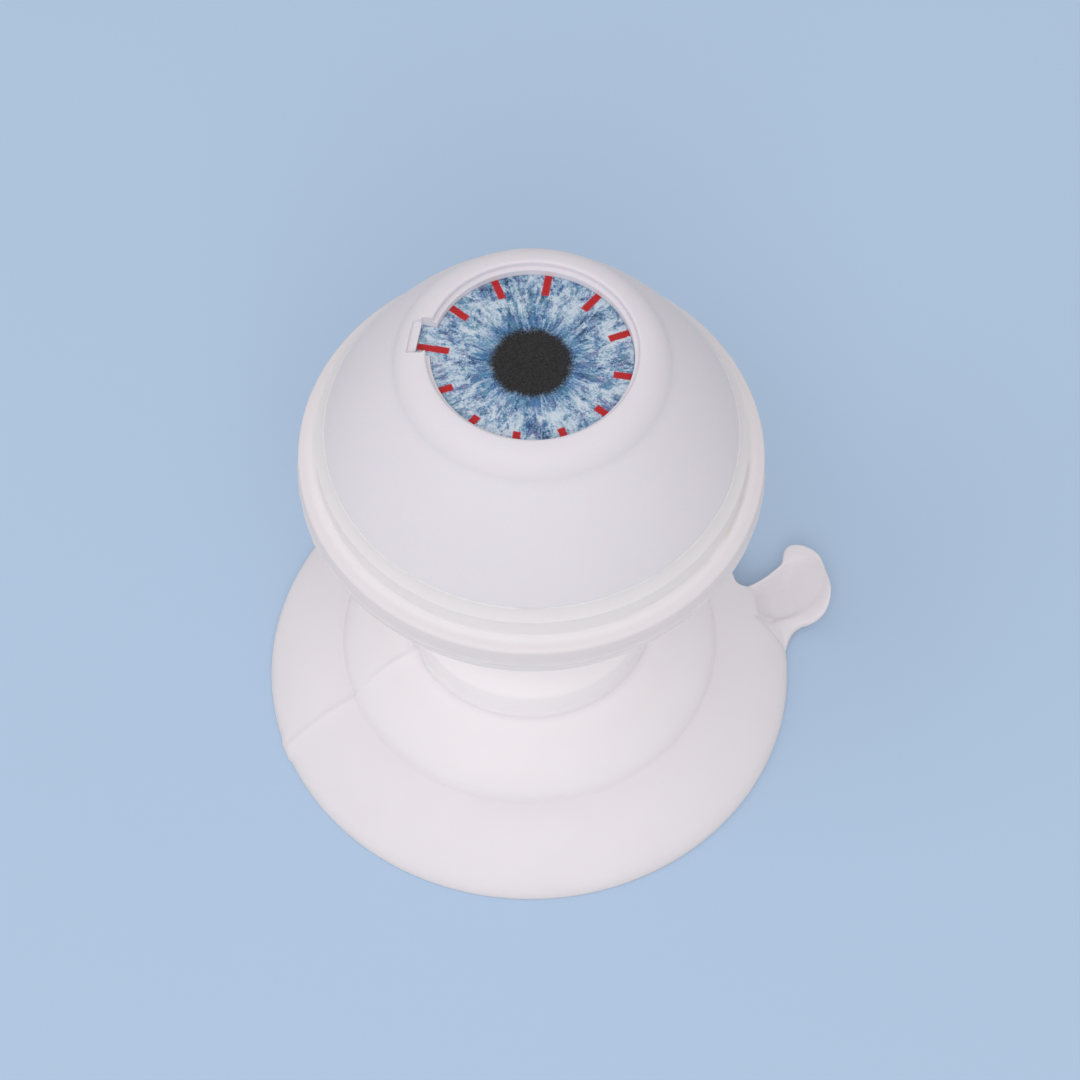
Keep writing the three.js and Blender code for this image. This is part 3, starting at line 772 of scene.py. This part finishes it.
class PRACTICE_EYE_OT_finishes(bpy.types.Operator):
    """Makes the shader groups and the materials that the pieces use."""
    bl_idname = "practice_eye.finishes"
    bl_label = "Make Finishes"

    def execute(self, context):
        looks = context.scene.practice_eye
        finish = looks.finish
        eye_place_group()
        grain_group()
        ring_line_group()
        fibres_group()
        silicone_material(finish, looks.holder)
        plastic_material("Hard Shell", finish.shell, roughness=0.58, grain_size=0.13, depth=0.007 * MM)
        plastic_material("Inner Plastic", finish.inner, roughness=0.52, grain_size=0.2, depth=0.005 * MM)
        rubber_material(finish.rubber, finish.talc)
        metal_material("Brass", finish.brass, finish.brass_tarnish, roughness=0.3)
        metal_material("Steel", finish.steel, finish.steel_tarnish, roughness=0.28)
        iris_print_material(looks.iris)
        return {"FINISHED"}


def skirt_line(sizes):
    """Corners of the skirt's upper face from the rim to the ring outside the crease."""
    rim = (BASE_RADIUS, sizes.rim_height)
    ring_end = (sizes.crease_radius + sizes.crease_ring, sizes.crease_height)
    return bulged(rim, ring_end, -sizes.skirt_bulge, steps=22)


def skirt_height(sizes, radius):
    """Height of the skirt's upper face at a radius from the axis."""
    line = skirt_line(sizes)
    for (outer, low), (inner, high) in zip(line, line[1:]):
        if inner <= radius <= outer:
            return low + (high - low) * (outer - radius) / (outer - inner)
    return line[0][1] if radius > line[0][0] else line[-1][1]


def raise_parting_line(bm, azimuth, height, far, near, along):
    """Raises the parting line in one direction: steep on its far side, flat on its near side.

    along says how much of the line shows at a corner of the mesh.
    """
    turned_back = Matrix.Rotation(math.pi - azimuth, 3, "Z")
    turn_about_axis(bm, turned_back)
    for offset in (far, 0.5 * far, 0, -0.3 * near, -near):
        close = [v for v in bm.verts if v.co.x < 0 and -1.5 * near < v.co.y < 1.5 * near]
        close_set = set(close)
        edges = [e for e in bm.edges if e.verts[0] in close_set and e.verts[1] in close_set]
        faces = [f for f in bm.faces if all(v in close_set for v in f.verts)]
        bmesh.ops.bisect_plane(
            bm, geom=close + edges + faces, dist=SAME_PLACE, plane_co=(0, offset, 0), plane_no=(0, 1, 0))
    bm.normal_update()
    moves = []
    for vert in bm.verts:
        y = vert.co.y
        if vert.co.x < 0 and -near < y < far:
            shown = along(vert) * (1 - y / far if y > 0 else (1 + y / near) ** 2)
            uneven = 0.85 + 0.35 * noise.noise(Vector((vert.co.x, 0, vert.co.z)) / (1.6 * MM))
            moves.append((vert, vert.normal * height * uneven * shown))
    for vert, move in moves:
        vert.co += move
    turn_about_axis(bm, turned_back.inverted())


class PRACTICE_EYE_OT_suction_cup(bpy.types.Operator):
    """Adds the suction cup: a skirt, a crease, a dome and the boss inside the neck."""
    bl_idname = "practice_eye.suction_cup"
    bl_label = "Add Suction Cup"

    def outline(self, sizes):
        """Half section, from under the boss round the skirt and the dome to the bore."""
        wall = sizes.wall
        boss = 3.4 * MM
        boss_foot = boss + 0.3 * MM
        boss_bottom = 2.8 * MM
        boss_round = 0.3 * MM
        bore = 2.6 * MM
        bore_bottom = 4.0 * MM
        cavity_edge = (BASE_RADIUS - 1.65 * MM, 0)
        crisp = 0.05 * MM
        crease = (sizes.crease_radius, sizes.crease_height)
        skirt = skirt_line(sizes)
        rim, ring_end = skirt[0], skirt[-1]
        dome_start = (sizes.dome_top_radius, sizes.dome_height)
        dome_end = (crease[0] - 0.22 * MM, crease[1] + sizes.crease_step)
        skirt_inner = (crease[0] - wall / 2, crease[1] - wall)
        dome_inner = (dome_start[0] - wall / 2, dome_start[1] - wall)
        return [
            (0, boss_bottom),
            (boss_foot, boss_bottom, boss_round),
            (boss_foot, dome_inner[1], boss_round),
            *bulged(dome_inner, skirt_inner, bulge=0.35 * MM, steps=10),
            *bulged(skirt_inner, cavity_edge, bulge=0.45 * MM, steps=14)[1:],
            (BASE_RADIUS, 0, 0.12 * MM),
            (*rim, sizes.rim_round),
            *skirt[3:-1],
            (*ring_end, crisp),
            (*crease, crisp),
            (*dome_end, sizes.crease_round),
            *bulged(dome_end, dome_start, bulge=-0.42 * MM, steps=16)[3:-1],
            (*dome_start, 0.4 * MM),
            (boss, sizes.dome_height, boss_round),
            (boss, cup_high.z, boss_round),
            (bore, cup_high.z, 0.12 * MM),
            (bore, bore_bottom, 0.25 * MM),
            (0, bore_bottom),
        ]

    def press_gate_pad(self, bm, sizes):
        """Flat gate pad where the parting line leaves the rim."""
        turned_back = Matrix.Rotation(math.pi - sizes.gate_azimuth, 3, "Z")
        turn_about_axis(bm, turned_back)
        face = BASE_RADIUS + sizes.gate_reach
        depth = 0.5 * MM
        side_slope = 0.12
        for vert in bm.verts:
            outward = (math.hypot(vert.co.x, vert.co.y) - BASE_RADIUS + depth) / depth
            inside = 1 - abs(vert.co.y) / (sizes.gate_width / 2)
            if vert.co.x < 0 and outward > 0 and inside > 0:
                pressed = min(1, inside / side_slope) * min(1, outward)
                vert.co.x -= (face - math.sqrt(BASE_RADIUS ** 2 - vert.co.y ** 2)) * pressed
        turn_about_axis(bm, turned_back.inverted())

    def notch_tool(self, sizes):
        """Solid that cuts the room for the tab and the notch beside it."""
        inner = sizes.notch_inner
        outer = BASE_RADIUS + 2 * MM
        near, far = -sizes.notch_near, sizes.notch_far
        corners = [
            (inner + 0.7 * MM, near, 0.4 * MM),
            (outer, near),
            (outer, far + 1.1 * MM),
            (outer - 2.6 * MM, far + 0.25 * MM, 0.7 * MM),
            (inner, far - 0.1 * MM, 0.8 * MM),
            (inner, 0.43 * MM, 0.42 * MM),
            (inner + 0.96 * MM, 0.33 * MM),
        ]
        return raised(corners, bottom=-MM, top=6 * MM)

    def execute(self, context):
        sizes = context.scene.practice_eye.cup
        bm = turned(self.outline(sizes), closed=False)
        bm = cut_away(bm, self.notch_tool(sizes))
        self.press_gate_pad(bm, sizes)
        lowest = 0.55 * MM
        highest = sizes.dome_height + 0.05 * MM
        innermost = 6.9 * MM
        step = sizes.crease_radius - 0.5 * MM
        step_reach = 0.6 * MM

        def along(vert):
            """1 on the upper faces, 0 elsewhere, and falling to 0 at the step at the dome's foot."""
            faces_up = vert.normal.z > 0.2
            on_top = faces_up and lowest < vert.co.z < highest and vert.co.x < -innermost
            return min(1, abs(vert.co.x + step) / step_reach) if on_top else 0

        raise_parting_line(
            bm, sizes.seam_azimuth, sizes.seam_height, sizes.seam_far, sizes.seam_near, along)
        piece = finish_piece(
            "moulded_suction_cup", bm, "Silicone", "foot", ["suction_cup"])
        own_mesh(piece)
        return {"FINISHED"}


class PRACTICE_EYE_OT_release_tab(bpy.types.Operator):
    """Adds the release tab: a scooped stem with raised sides and a head that curls up and has a horn."""
    bl_idname = "practice_eye.release_tab"
    bl_label = "Add Release Tab"

    def section(self, bm, sizes, station):
        """Closed loop of edges across the tab at one station.

        Inside the rim, the near wall's top follows the skirt's upper face.
        """
        x, near_out, near_in, far_in, far_out, near_top, floor, far_top, bottom = station
        near_middle = (near_out + near_in) / 2
        root_start, rim = 15.1, 16.2
        soft = 0.12

        def skirt_at(y):
            """Height of the skirt's upper face on this station, in millimetres."""
            return skirt_height(sizes, math.hypot(x, y) * MM) / MM

        if x < rim:
            inner_top = max(near_top, skirt_at(near_in) + 0.05)
            outer_top = min(near_top, skirt_at(near_out) - 0.04)
            middle_top = skirt_at(near_middle) + 0.2 * max(0, x - root_start)
        else:
            inner_top = near_top
            outer_top = near_top - 0.24 * max(0, 1 - (x - rim) / 1.6)
            middle_top = (inner_top + outer_top) / 2 + 0.04
        corners = (
            (near_out + 0.2, bottom), (near_out, bottom + soft), (near_out, outer_top - soft),
            (near_out + soft, outer_top), (near_middle, middle_top), (near_in - soft, inner_top),
            (near_in + soft, floor + soft), (near_in + 0.45, floor),
            ((near_in + far_in) / 2, floor), (far_in - 0.45, floor),
            (far_in - soft, floor + soft), (far_in + 0.5 * soft, far_top), (far_out - soft, far_top),
            (far_out, far_top - soft), (far_out, bottom + soft), (far_out - 0.2, bottom),
            ((near_out + far_out) / 2, bottom))
        verts = [bm.verts.new(Vector((x, y, z)) * MM) for y, z in corners]
        return [bm.edges.new((verts[i - 1], verts[i])) for i in range(len(verts))]

    def execute(self, context):
        sizes = context.scene.practice_eye.cup
        # In millimetres: the distance from the axis, the outer and inner side of the near wall, the
        # inner and outer side of the far one, and the heights of the near wall, the floor, the far
        # wall and the underside
        stations = (
            (14.0, -3.1, -1.5, -0.05, 0.25, 1.9, 2.25, 2.65, 1.3),
            (14.55, -3.1, -1.6, 0.08, 0.46, 1.9, 2.32, 2.5, 0.9),
            (14.9, -3.1, -1.85, 0.26, 0.62, 1.9, 1.96, 2.34, 0.45),
            (15.25, -3.9, -1.9, 0.4, 0.74, 2.0, 1.42, 2.18, 0.2),
            (15.7, -4.2, -1.85, 0.62, 0.96, 1.62, 0.96, 2.0, 0.1),
            (15.98, -3.8, -1.8, 0.74, 1.08, 1.4, 0.8, 1.94, 0.1),
            (16.25, -3.3, -1.75, 0.86, 1.2, 1.24, 0.7, 1.88, 0.1),
            (16.8, -2.66, -1.65, 1.14, 1.48, 1.05, 0.6, 1.82, 0.12),
            (17.25, -2.43, -1.6, 1.36, 1.7, 0.94, 0.6, 1.8, 0.16),
            (17.55, -2.38, -1.55, 1.5, 1.86, 0.92, 0.64, 1.8, 0.22),
            (17.72, -2.4, -1.5, 1.56, 2.2, 0.94, 0.69, 1.84, 0.28),
            (17.9, -2.44, -1.5, 1.62, 2.66, 1.0, 0.77, 1.9, 0.36),
            (18.3, -2.48, -1.5, 1.7, 2.94, 1.22, 1.0, 2.02, 0.56),
            (18.8, -2.42, -1.4, 1.68, 2.82, 1.55, 1.36, 2.18, 0.86),
            (19.25, -2.16, -1.2, 1.48, 2.44, 1.88, 1.7, 2.32, 1.2),
            (19.58, -1.76, -0.9, 1.16, 2.0, 2.16, 2.03, 2.44, 1.6),
            (19.8, -1.24, -0.6, 0.84, 1.54, 2.37, 2.28, 2.52, 1.95),
            (19.9, -0.8, -0.4, 0.6, 1.12, 2.46, 2.42, 2.54, 2.2),
        )
        bm = bmesh.new()
        loops = [self.section(bm, sizes, station) for station in stations]
        for first, second in zip(loops, loops[1:]):
            bmesh.ops.bridge_loops(bm, edges=first + second)
        bmesh.ops.holes_fill(bm, edges=loops[0] + loops[-1], sides=0)
        bmesh.ops.recalc_face_normals(bm, faces=bm.faces[:])
        bm = evaluated(bm, "SUBSURF", levels=3, render_levels=3)
        piece = finish_piece(
            "moulded_release_tab", bm, "Silicone", None, ["release_tab"])
        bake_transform(piece)
        return {"FINISHED"}


class PRACTICE_EYE_OT_holder(bpy.types.Operator):
    """Adds the flexible cup: flared foot, waist, bowl, stepped shoulder and thin lip."""
    bl_idname = "practice_eye.holder"
    bl_label = "Add Holder Cup"

    def outline(self, sizes, dome_height):
        """Half section, from the foot up the outside to the lip and down the inside to the socket."""
        foot, fillet = sizes.foot_radius, sizes.foot_fillet
        bowl = 14.73 * MM
        centre = (0, 29.23 * MM)
        cavity = bowl - 1.5 * MM
        seat = 5.4 * MM
        waist = 5.6 * MM
        socket = 3.7 * MM
        socket_top = cup_high.z + 0.3 * MM
        hole = 1.8 * MM
        foot_bottom = dome_height - 0.33 * MM
        flare_bottom = (foot - 0.2 * MM, sizes.foot_edge + 0.2 * MM)
        flare_top = (waist, 12.0 * MM)
        floor = centre[1] - math.sqrt(cavity ** 2 - seat ** 2)
        stem_angle = math.degrees(math.acos(waist / bowl))
        band_angle = math.degrees(math.acos((BOWL_BAND_RADIUS - 0.03 * MM) / bowl))
        floor_angle = math.degrees(math.acos(seat / cavity))
        bore_angle = math.degrees(math.acos(min(1, sizes.lip_inner / cavity)))
        lip_corner = sizes.lip_top - sizes.lip_slope
        flash = sizes.flash_height
        band_low = (sizes.shoulder_radius + 0.04 * MM, sizes.flash_low + 0.16 * MM)
        shoulder = (sizes.shoulder_radius, sizes.ledge_height)
        groove_low = (sizes.groove_radius, sizes.ledge_height + 0.04 * MM)
        groove_high = (sizes.lip_outer - 0.03 * MM, lip_corner - 0.12 * MM)
        return [
            (socket, foot_bottom, 0.15 * MM),
            (foot + 1.3 * fillet, foot_bottom),
            (foot + 1.0 * fillet, dome_height - 0.06 * MM),
            (foot + 0.7 * fillet, dome_height - 0.01 * MM),
            (foot + 0.4 * fillet, dome_height + 0.09 * fillet),
            (foot + 0.15 * fillet, dome_height + 0.33 * fillet),
            (foot + 0.02 * MM, dome_height + 0.95 * fillet),
            (foot, sizes.foot_edge, 0.2 * MM),
            *bulged(flare_bottom, flare_top, bulge=0.5 * MM, steps=10)[1:],
            *arc(centre, bowl, -stem_angle, -band_angle, steps=34),
            (BOWL_BAND_RADIUS - 0.02 * MM, sizes.flash_low),
            (BOWL_BAND_RADIUS + 0.4 * flash, sizes.flash_low + 0.07 * MM, 0.03 * MM),
            band_low,
            *straight(band_low, shoulder, steps=5),
            (*shoulder, sizes.shoulder_round),
            (*groove_low, 0.1 * MM),
            *straight(groove_low, groove_high, steps=7),
            groove_high,
            (sizes.lip_outer + 0.2 * flash, lip_corner, 0.07 * MM),
            (sizes.lip_outer - 0.12 * MM, lip_corner + 0.13 * MM),
            (sizes.lip_inner + 0.14 * MM, sizes.lip_top - 0.13 * MM),
            (sizes.lip_inner + 0.02 * MM, sizes.lip_top - 0.01 * MM),
            (sizes.lip_inner - 0.05 * MM, sizes.lip_top + 0.04 * MM),
            (sizes.lip_inner - 0.03 * MM, sizes.lip_top - 0.1 * MM, 0.03 * MM),
            *arc(centre, cavity, -bore_angle, -floor_angle, steps=24),
            (hole, floor, 0.15 * MM),
            (hole, socket_top, 0.15 * MM),
            (socket, socket_top, 0.25 * MM),
        ]

    def add_flash(self, bm, sizes):
        """Uneven flash along the lip's edges, the groove and the shoulder."""
        # Radius, height, share of the flash's height, and reach on both sides
        lines = (
            (sizes.lip_inner + 0.08 * MM, sizes.lip_top - 0.07 * MM, 0.4, 0.07 * MM),
            (sizes.lip_outer, sizes.lip_top - sizes.lip_slope, 0.5, 0.1 * MM),
            (BOWL_BAND_RADIUS, sizes.flash_low + 0.08 * MM, 1.5, 0.14 * MM),
            (sizes.groove_radius, sizes.ledge_height, 1.2, 0.3 * MM),
        )
        bm.normal_update()
        moves = []
        for vert in bm.verts:
            radius = math.hypot(vert.co.x, vert.co.y)
            for line_radius, height, amount, reach in lines:
                off = math.hypot(radius - line_radius, vert.co.z - height) / reach
                if off < 1:
                    coarse = noise.noise(vert.co / (1.1 * MM))
                    fine = noise.noise(vert.co / (0.35 * MM))
                    rise = sizes.flash_height * amount * (1 - off * off) * (coarse + 0.5 * fine)
                    moves.append((vert, vert.normal * rise))
        for vert, move in moves:
            vert.co += move

    def execute(self, context):
        sizes = context.scene.practice_eye.holder
        cup = context.scene.practice_eye.cup
        bm = turned(self.outline(sizes, cup.dome_height))
        self.add_flash(bm, sizes)
        lowest = 10 * MM

        def along(vert):
            """1 on the outside of the neck and the bowl, 0 elsewhere."""
            return lowest < vert.co.z < sizes.flash_low and vert.normal.x < -0.2

        raise_parting_line(
            bm, cup.seam_azimuth, cup.seam_height / 2, cup.seam_far, cup.seam_near, along)
        finish_piece("moulded_holder_cup", bm, "Silicone", "holder", ["holder_cup"])
        return {"FINISHED"}


class PRACTICE_EYE_OT_front_shell(bpy.types.Operator):
    """Adds the hard front shell with its raised ring, stepped opening and key slot."""
    bl_idname = "practice_eye.front_shell"
    bl_label = "Add Front Shell"

    def outline(self, sizes, lip_inner, seam):
        """Half section, from the disc's ledge over the raised ring to the hem and up the inside."""
        outside = lip_inner + sizes.lip_squeeze
        inside = outside - sizes.wall
        top = shell_high.z
        bump_centre = (5.9 * MM, top - sizes.bump_radius)
        edge = math.degrees(math.acos((sizes.opening_radius - bump_centre[0]) / sizes.bump_radius))
        cone_foot = (outside, seam - 0.05 * MM)
        ring = arc(bump_centre, sizes.bump_radius, edge, 20, steps=20)
        crease = arc(bump_centre, sizes.bump_radius, 12, 12, steps=1)[0]
        ledge = top - sizes.ledge_depth
        ceiling = disc_low.z
        inner_bottom = (inside, seam + 0.04 * MM)
        inner_top = (7.0 * MM, ceiling)
        return [
            (sizes.ledge_radius, ceiling),
            (sizes.ledge_radius, ledge, 0.04 * MM),
            (sizes.opening_radius, ledge, 0.03 * MM),
            (*ring[0], 0.18 * MM),
            *ring[2:],
            (*crease, 0.5 * MM),
            *bulged(crease, cone_foot, bulge=0.3 * MM, steps=26)[2:-1],
            (cone_foot[0] - 0.008 * MM, cone_foot[1] + 0.02 * MM),
            cone_foot,
            (outside, cone_foot[1] - 0.03 * MM),
            (outside, shell_low.z, 0.1 * MM),
            (inside, shell_low.z, 0.1 * MM),
            *bulged(inner_bottom, inner_top, bulge=-0.28 * MM, steps=16),
        ]

    def slot_tool(self, near, far, reach, bottom, top, azimuth, draft=0.0):
        """Solid of the slot; its near side and its end lean outwards by the draft."""
        soft = 0.06 * MM
        tool = raised([(0, -far), (reach, -far, soft), (reach, near, soft), (0, near)], bottom, top)
        for vert in tool.verts:
            if vert.co.z > (bottom + top) / 2:
                vert.co.x += draft
                vert.co.y += draft / 2 if vert.co.y > 0 else 0
        turn_about_axis(tool, Matrix.Rotation(azimuth, 3, "Z"))
        return tool

    def pull_burr(self, bm, sizes, near):
        """Pulls a small burr out of the slot's near corner."""
        reach = 0.4 * MM
        pull = Vector((0.05, -0.26, 0.04))
        along = math.sqrt(sizes.opening_radius ** 2 - near ** 2)
        spin = Matrix.Rotation(sizes.key_azimuth, 3, "Z")
        corner = spin @ Vector((along, near, shell_high.z - 0.05 * MM))
        for vert in bm.verts:
            off = (vert.co - corner).length / reach
            if off < 1:
                vert.co += spin @ pull * MM * (1 - off) ** 2

    def execute(self, context):
        looks = context.scene.practice_eye
        sizes = looks.eye
        bm = turned(self.outline(sizes, looks.holder.lip_inner, looks.holder.lip_top))
        ledge = shell_high.z - sizes.ledge_depth
        half = sizes.key_width / 2
        lower_slot = self.slot_tool(
            near=half, far=half, reach=sizes.key_reach, bottom=disc_low.z - MM, top=shell_high.z + MM,
            azimuth=sizes.key_azimuth)
        upper_slot = self.slot_tool(
            near=half + 0.1 * MM, far=half - 0.1 * MM, reach=sizes.key_top_reach,
            bottom=ledge - 0.1 * MM, top=ledge + 0.6 * MM, azimuth=sizes.key_azimuth, draft=0.3 * MM)
        bm = cut_away(cut_away(bm, lower_slot), upper_slot)
        self.pull_burr(bm, sizes, near=half + 0.2 * MM)
        finish_piece("shell_cap", bm, "Hard Shell", "front", ["front_shell"])
        return {"FINISHED"}


class PRACTICE_EYE_OT_iris_disc(bpy.types.Operator):
    """Adds the printed iris disc with its key."""
    bl_idname = "practice_eye.iris_disc"
    bl_label = "Add Iris Disc"

    def execute(self, context):
        sizes = context.scene.practice_eye.eye
        play = 0.02 * MM
        edge_round = 0.03 * MM
        key_round = 0.05 * MM
        radius = sizes.ledge_radius - play
        bottom, top = disc_low.z, disc_high.z
        disc = turned(
            [(0, bottom), (radius, bottom, edge_round), (radius, top, edge_round), (0, top)],
            closed=False)
        half = sizes.key_width / 2 - play
        reach = sizes.key_reach - play
        key = raised(
            [(0, -half), (reach, -half, key_round), (reach, half, key_round), (0, half)], bottom, top)
        turn_about_axis(key, Matrix.Rotation(sizes.key_azimuth, 3, "Z"))
        finish_piece(
            "iris_card", joined(disc, key), "Iris Print", "iris", ["iris_disc"])
        return {"FINISHED"}


class PRACTICE_EYE_OT_inner_parts(bpy.types.Operator):
    """Gives the parts inside the eye and the neck their finishes."""
    bl_idname = "practice_eye.inner_parts"
    bl_label = "Finish Inner Parts"

    finishes = {
        "threaded_insert": "Brass",
        "holder_washer": "Steel",
        "holder_screw": "Steel",
        "rear_shell": "Inner Plastic",
        "seal_ring": "Seal Rubber",
        "iris_carrier": "Inner Plastic",
    }

    def execute(self, context):
        for node, material in self.finishes.items():
            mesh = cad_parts[node].data
            mesh.materials.clear()
            mesh.materials.append(bpy.data.materials[material])
        return {"FINISHED"}


class PRACTICE_EYE_OT_stage(bpy.types.Operator):
    """Adds the floor, the soft lamps, the even surrounding light and the camera."""
    bl_idname = "practice_eye.stage"
    bl_label = "Set Stage"

    def add_floor(self, stage):
        """Wide floor that the camera and reflections see in the backdrop's colour."""
        bm = bmesh.new()
        bmesh.ops.create_grid(bm, x_segments=1, y_segments=1, size=FLOOR_REACH)
        mesh = bpy.data.meshes.new("floor")
        bm.to_mesh(mesh)
        bm.free()
        floor = bpy.data.objects.new("floor", mesh)
        bpy.context.scene.collection.objects.link(floor)
        material, tree, shader = new_material("Floor", roughness=0.9)
        path = add(tree, "ShaderNodeLightPath").outputs
        seen = calc(tree, "MAXIMUM", path["Is Camera Ray"], path["Is Glossy Ray"])
        seen = calc(tree, "MAXIMUM", seen, path["Is Transmission Ray"])
        base = blend_colours(tree, seen, solid(stage.bounce), solid(stage.backdrop))
        tree.links.new(base, shader.inputs["Base Color"])
        mesh.materials.append(material)

    def add_lamp(self, stage, name, watts, azimuth):
        """Soft lamp at an azimuth counted from the camera's own."""
        lamp = bpy.data.lights.new(name, "AREA")
        lamp.energy = watts
        lamp.size = stage.lamp_size
        holder = bpy.data.objects.new(name, lamp)
        bpy.context.scene.collection.objects.link(holder)
        aim = AXIS + Vector((0, 0, stage.camera_aim))
        spin = Matrix.Rotation(stage.camera_azimuth + azimuth, 3, "Z")
        away = spin @ Vector((0, -math.cos(stage.lamp_elevation), math.sin(stage.lamp_elevation)))
        holder.location = aim + away * stage.lamp_distance
        holder.rotation_mode = "QUATERNION"
        holder.rotation_quaternion = (-away).to_track_quat("-Z", "Y")

    def add_world(self, stage):
        """Even white light from all round."""
        world = bpy.data.worlds.new("Studio")
        world.use_nodes = True
        background = world.node_tree.nodes["Background"]
        background.inputs["Color"].default_value = (1, 1, 1, 1)
        background.inputs["Strength"].default_value = stage.world_level
        bpy.context.scene.world = world

    def add_camera(self, stage):
        """Camera at the photographed angle, from a turn about the axis and small turns of the view."""
        elevation = stage.camera_elevation
        place = Vector((0, -math.cos(elevation), math.sin(elevation))) * stage.camera_distance
        place.z += stage.camera_aim
        level = math.cos(elevation)
        view = Vector((
            math.sin(stage.camera_yaw) * level, math.cos(stage.camera_yaw) * level, -math.sin(elevation)))
        view.normalize()
        right = view.cross(Vector((0, 0, 1))).normalized()
        up = right.cross(view)
        tilt = Matrix.Rotation(-stage.camera_roll, 3, view)
        axes = Matrix((tilt @ right, tilt @ up, -view)).transposed()
        spin = Matrix.Rotation(stage.camera_azimuth, 3, "Z")
        data = bpy.data.cameras.new("camera")
        data.lens = stage.lens
        data.sensor_width = SENSOR_WIDTH
        data.clip_start = CLIP_START
        data.clip_end = CLIP_END
        camera = bpy.data.objects.new("camera", data)
        bpy.context.scene.collection.objects.link(camera)
        camera.matrix_world = Matrix.Translation(spin @ place + AXIS) @ (spin @ axes).to_4x4()
        bpy.context.scene.camera = camera

    def execute(self, context):
        stage = context.scene.practice_eye.stage
        self.add_floor(stage)
        self.add_world(stage)
        self.add_lamp(stage, "front_lamp", stage.front_watts, 0)
        self.add_lamp(stage, "side_lamp", stage.side_watts, stage.side_azimuth)
        self.add_camera(stage)
        context.scene.view_settings.view_transform = "Standard"
        return {"FINISHED"}


class PRACTICE_EYE_PT_panel(bpy.types.Panel):
    """Lists the steps that build the practice eye."""
    bl_idname = "PRACTICE_EYE_PT_panel"
    bl_label = "Practice Eye"
    bl_space_type = "VIEW_3D"
    bl_region_type = "UI"
    bl_category = "Practice Eye"

    def draw(self, context):
        for step in STEPS:
            self.layout.operator(step.bl_idname)


GROUPS = (
    SuctionCupSizes, HolderSizes, EyeSizes, IrisLooks, FinishColours, StageLooks, PracticeEye)
STEPS = (
    PRACTICE_EYE_OT_finishes, PRACTICE_EYE_OT_suction_cup, PRACTICE_EYE_OT_release_tab,
    PRACTICE_EYE_OT_holder, PRACTICE_EYE_OT_front_shell, PRACTICE_EYE_OT_iris_disc,
    PRACTICE_EYE_OT_inner_parts, PRACTICE_EYE_OT_stage)


def register():
    for kind in (*GROUPS, *STEPS, PRACTICE_EYE_PT_panel):
        bpy.utils.register_class(kind)
    bpy.types.Scene.practice_eye = PointerProperty(type=PracticeEye)


def unregister():
    del bpy.types.Scene.practice_eye
    for kind in reversed((*GROUPS, *STEPS, PRACTICE_EYE_PT_panel)):
        bpy.utils.unregister_class(kind)


def main():
    """Builds the practice eye step by step."""
    register()
    bpy.ops.practice_eye.finishes()
    bpy.ops.practice_eye.suction_cup()
    bpy.ops.practice_eye.release_tab()
    bpy.ops.practice_eye.holder()
    bpy.ops.practice_eye.front_shell()
    bpy.ops.practice_eye.iris_disc()
    bpy.ops.practice_eye.inner_parts()
    bpy.ops.practice_eye.stage()


if __name__ == "__main__":
    main()
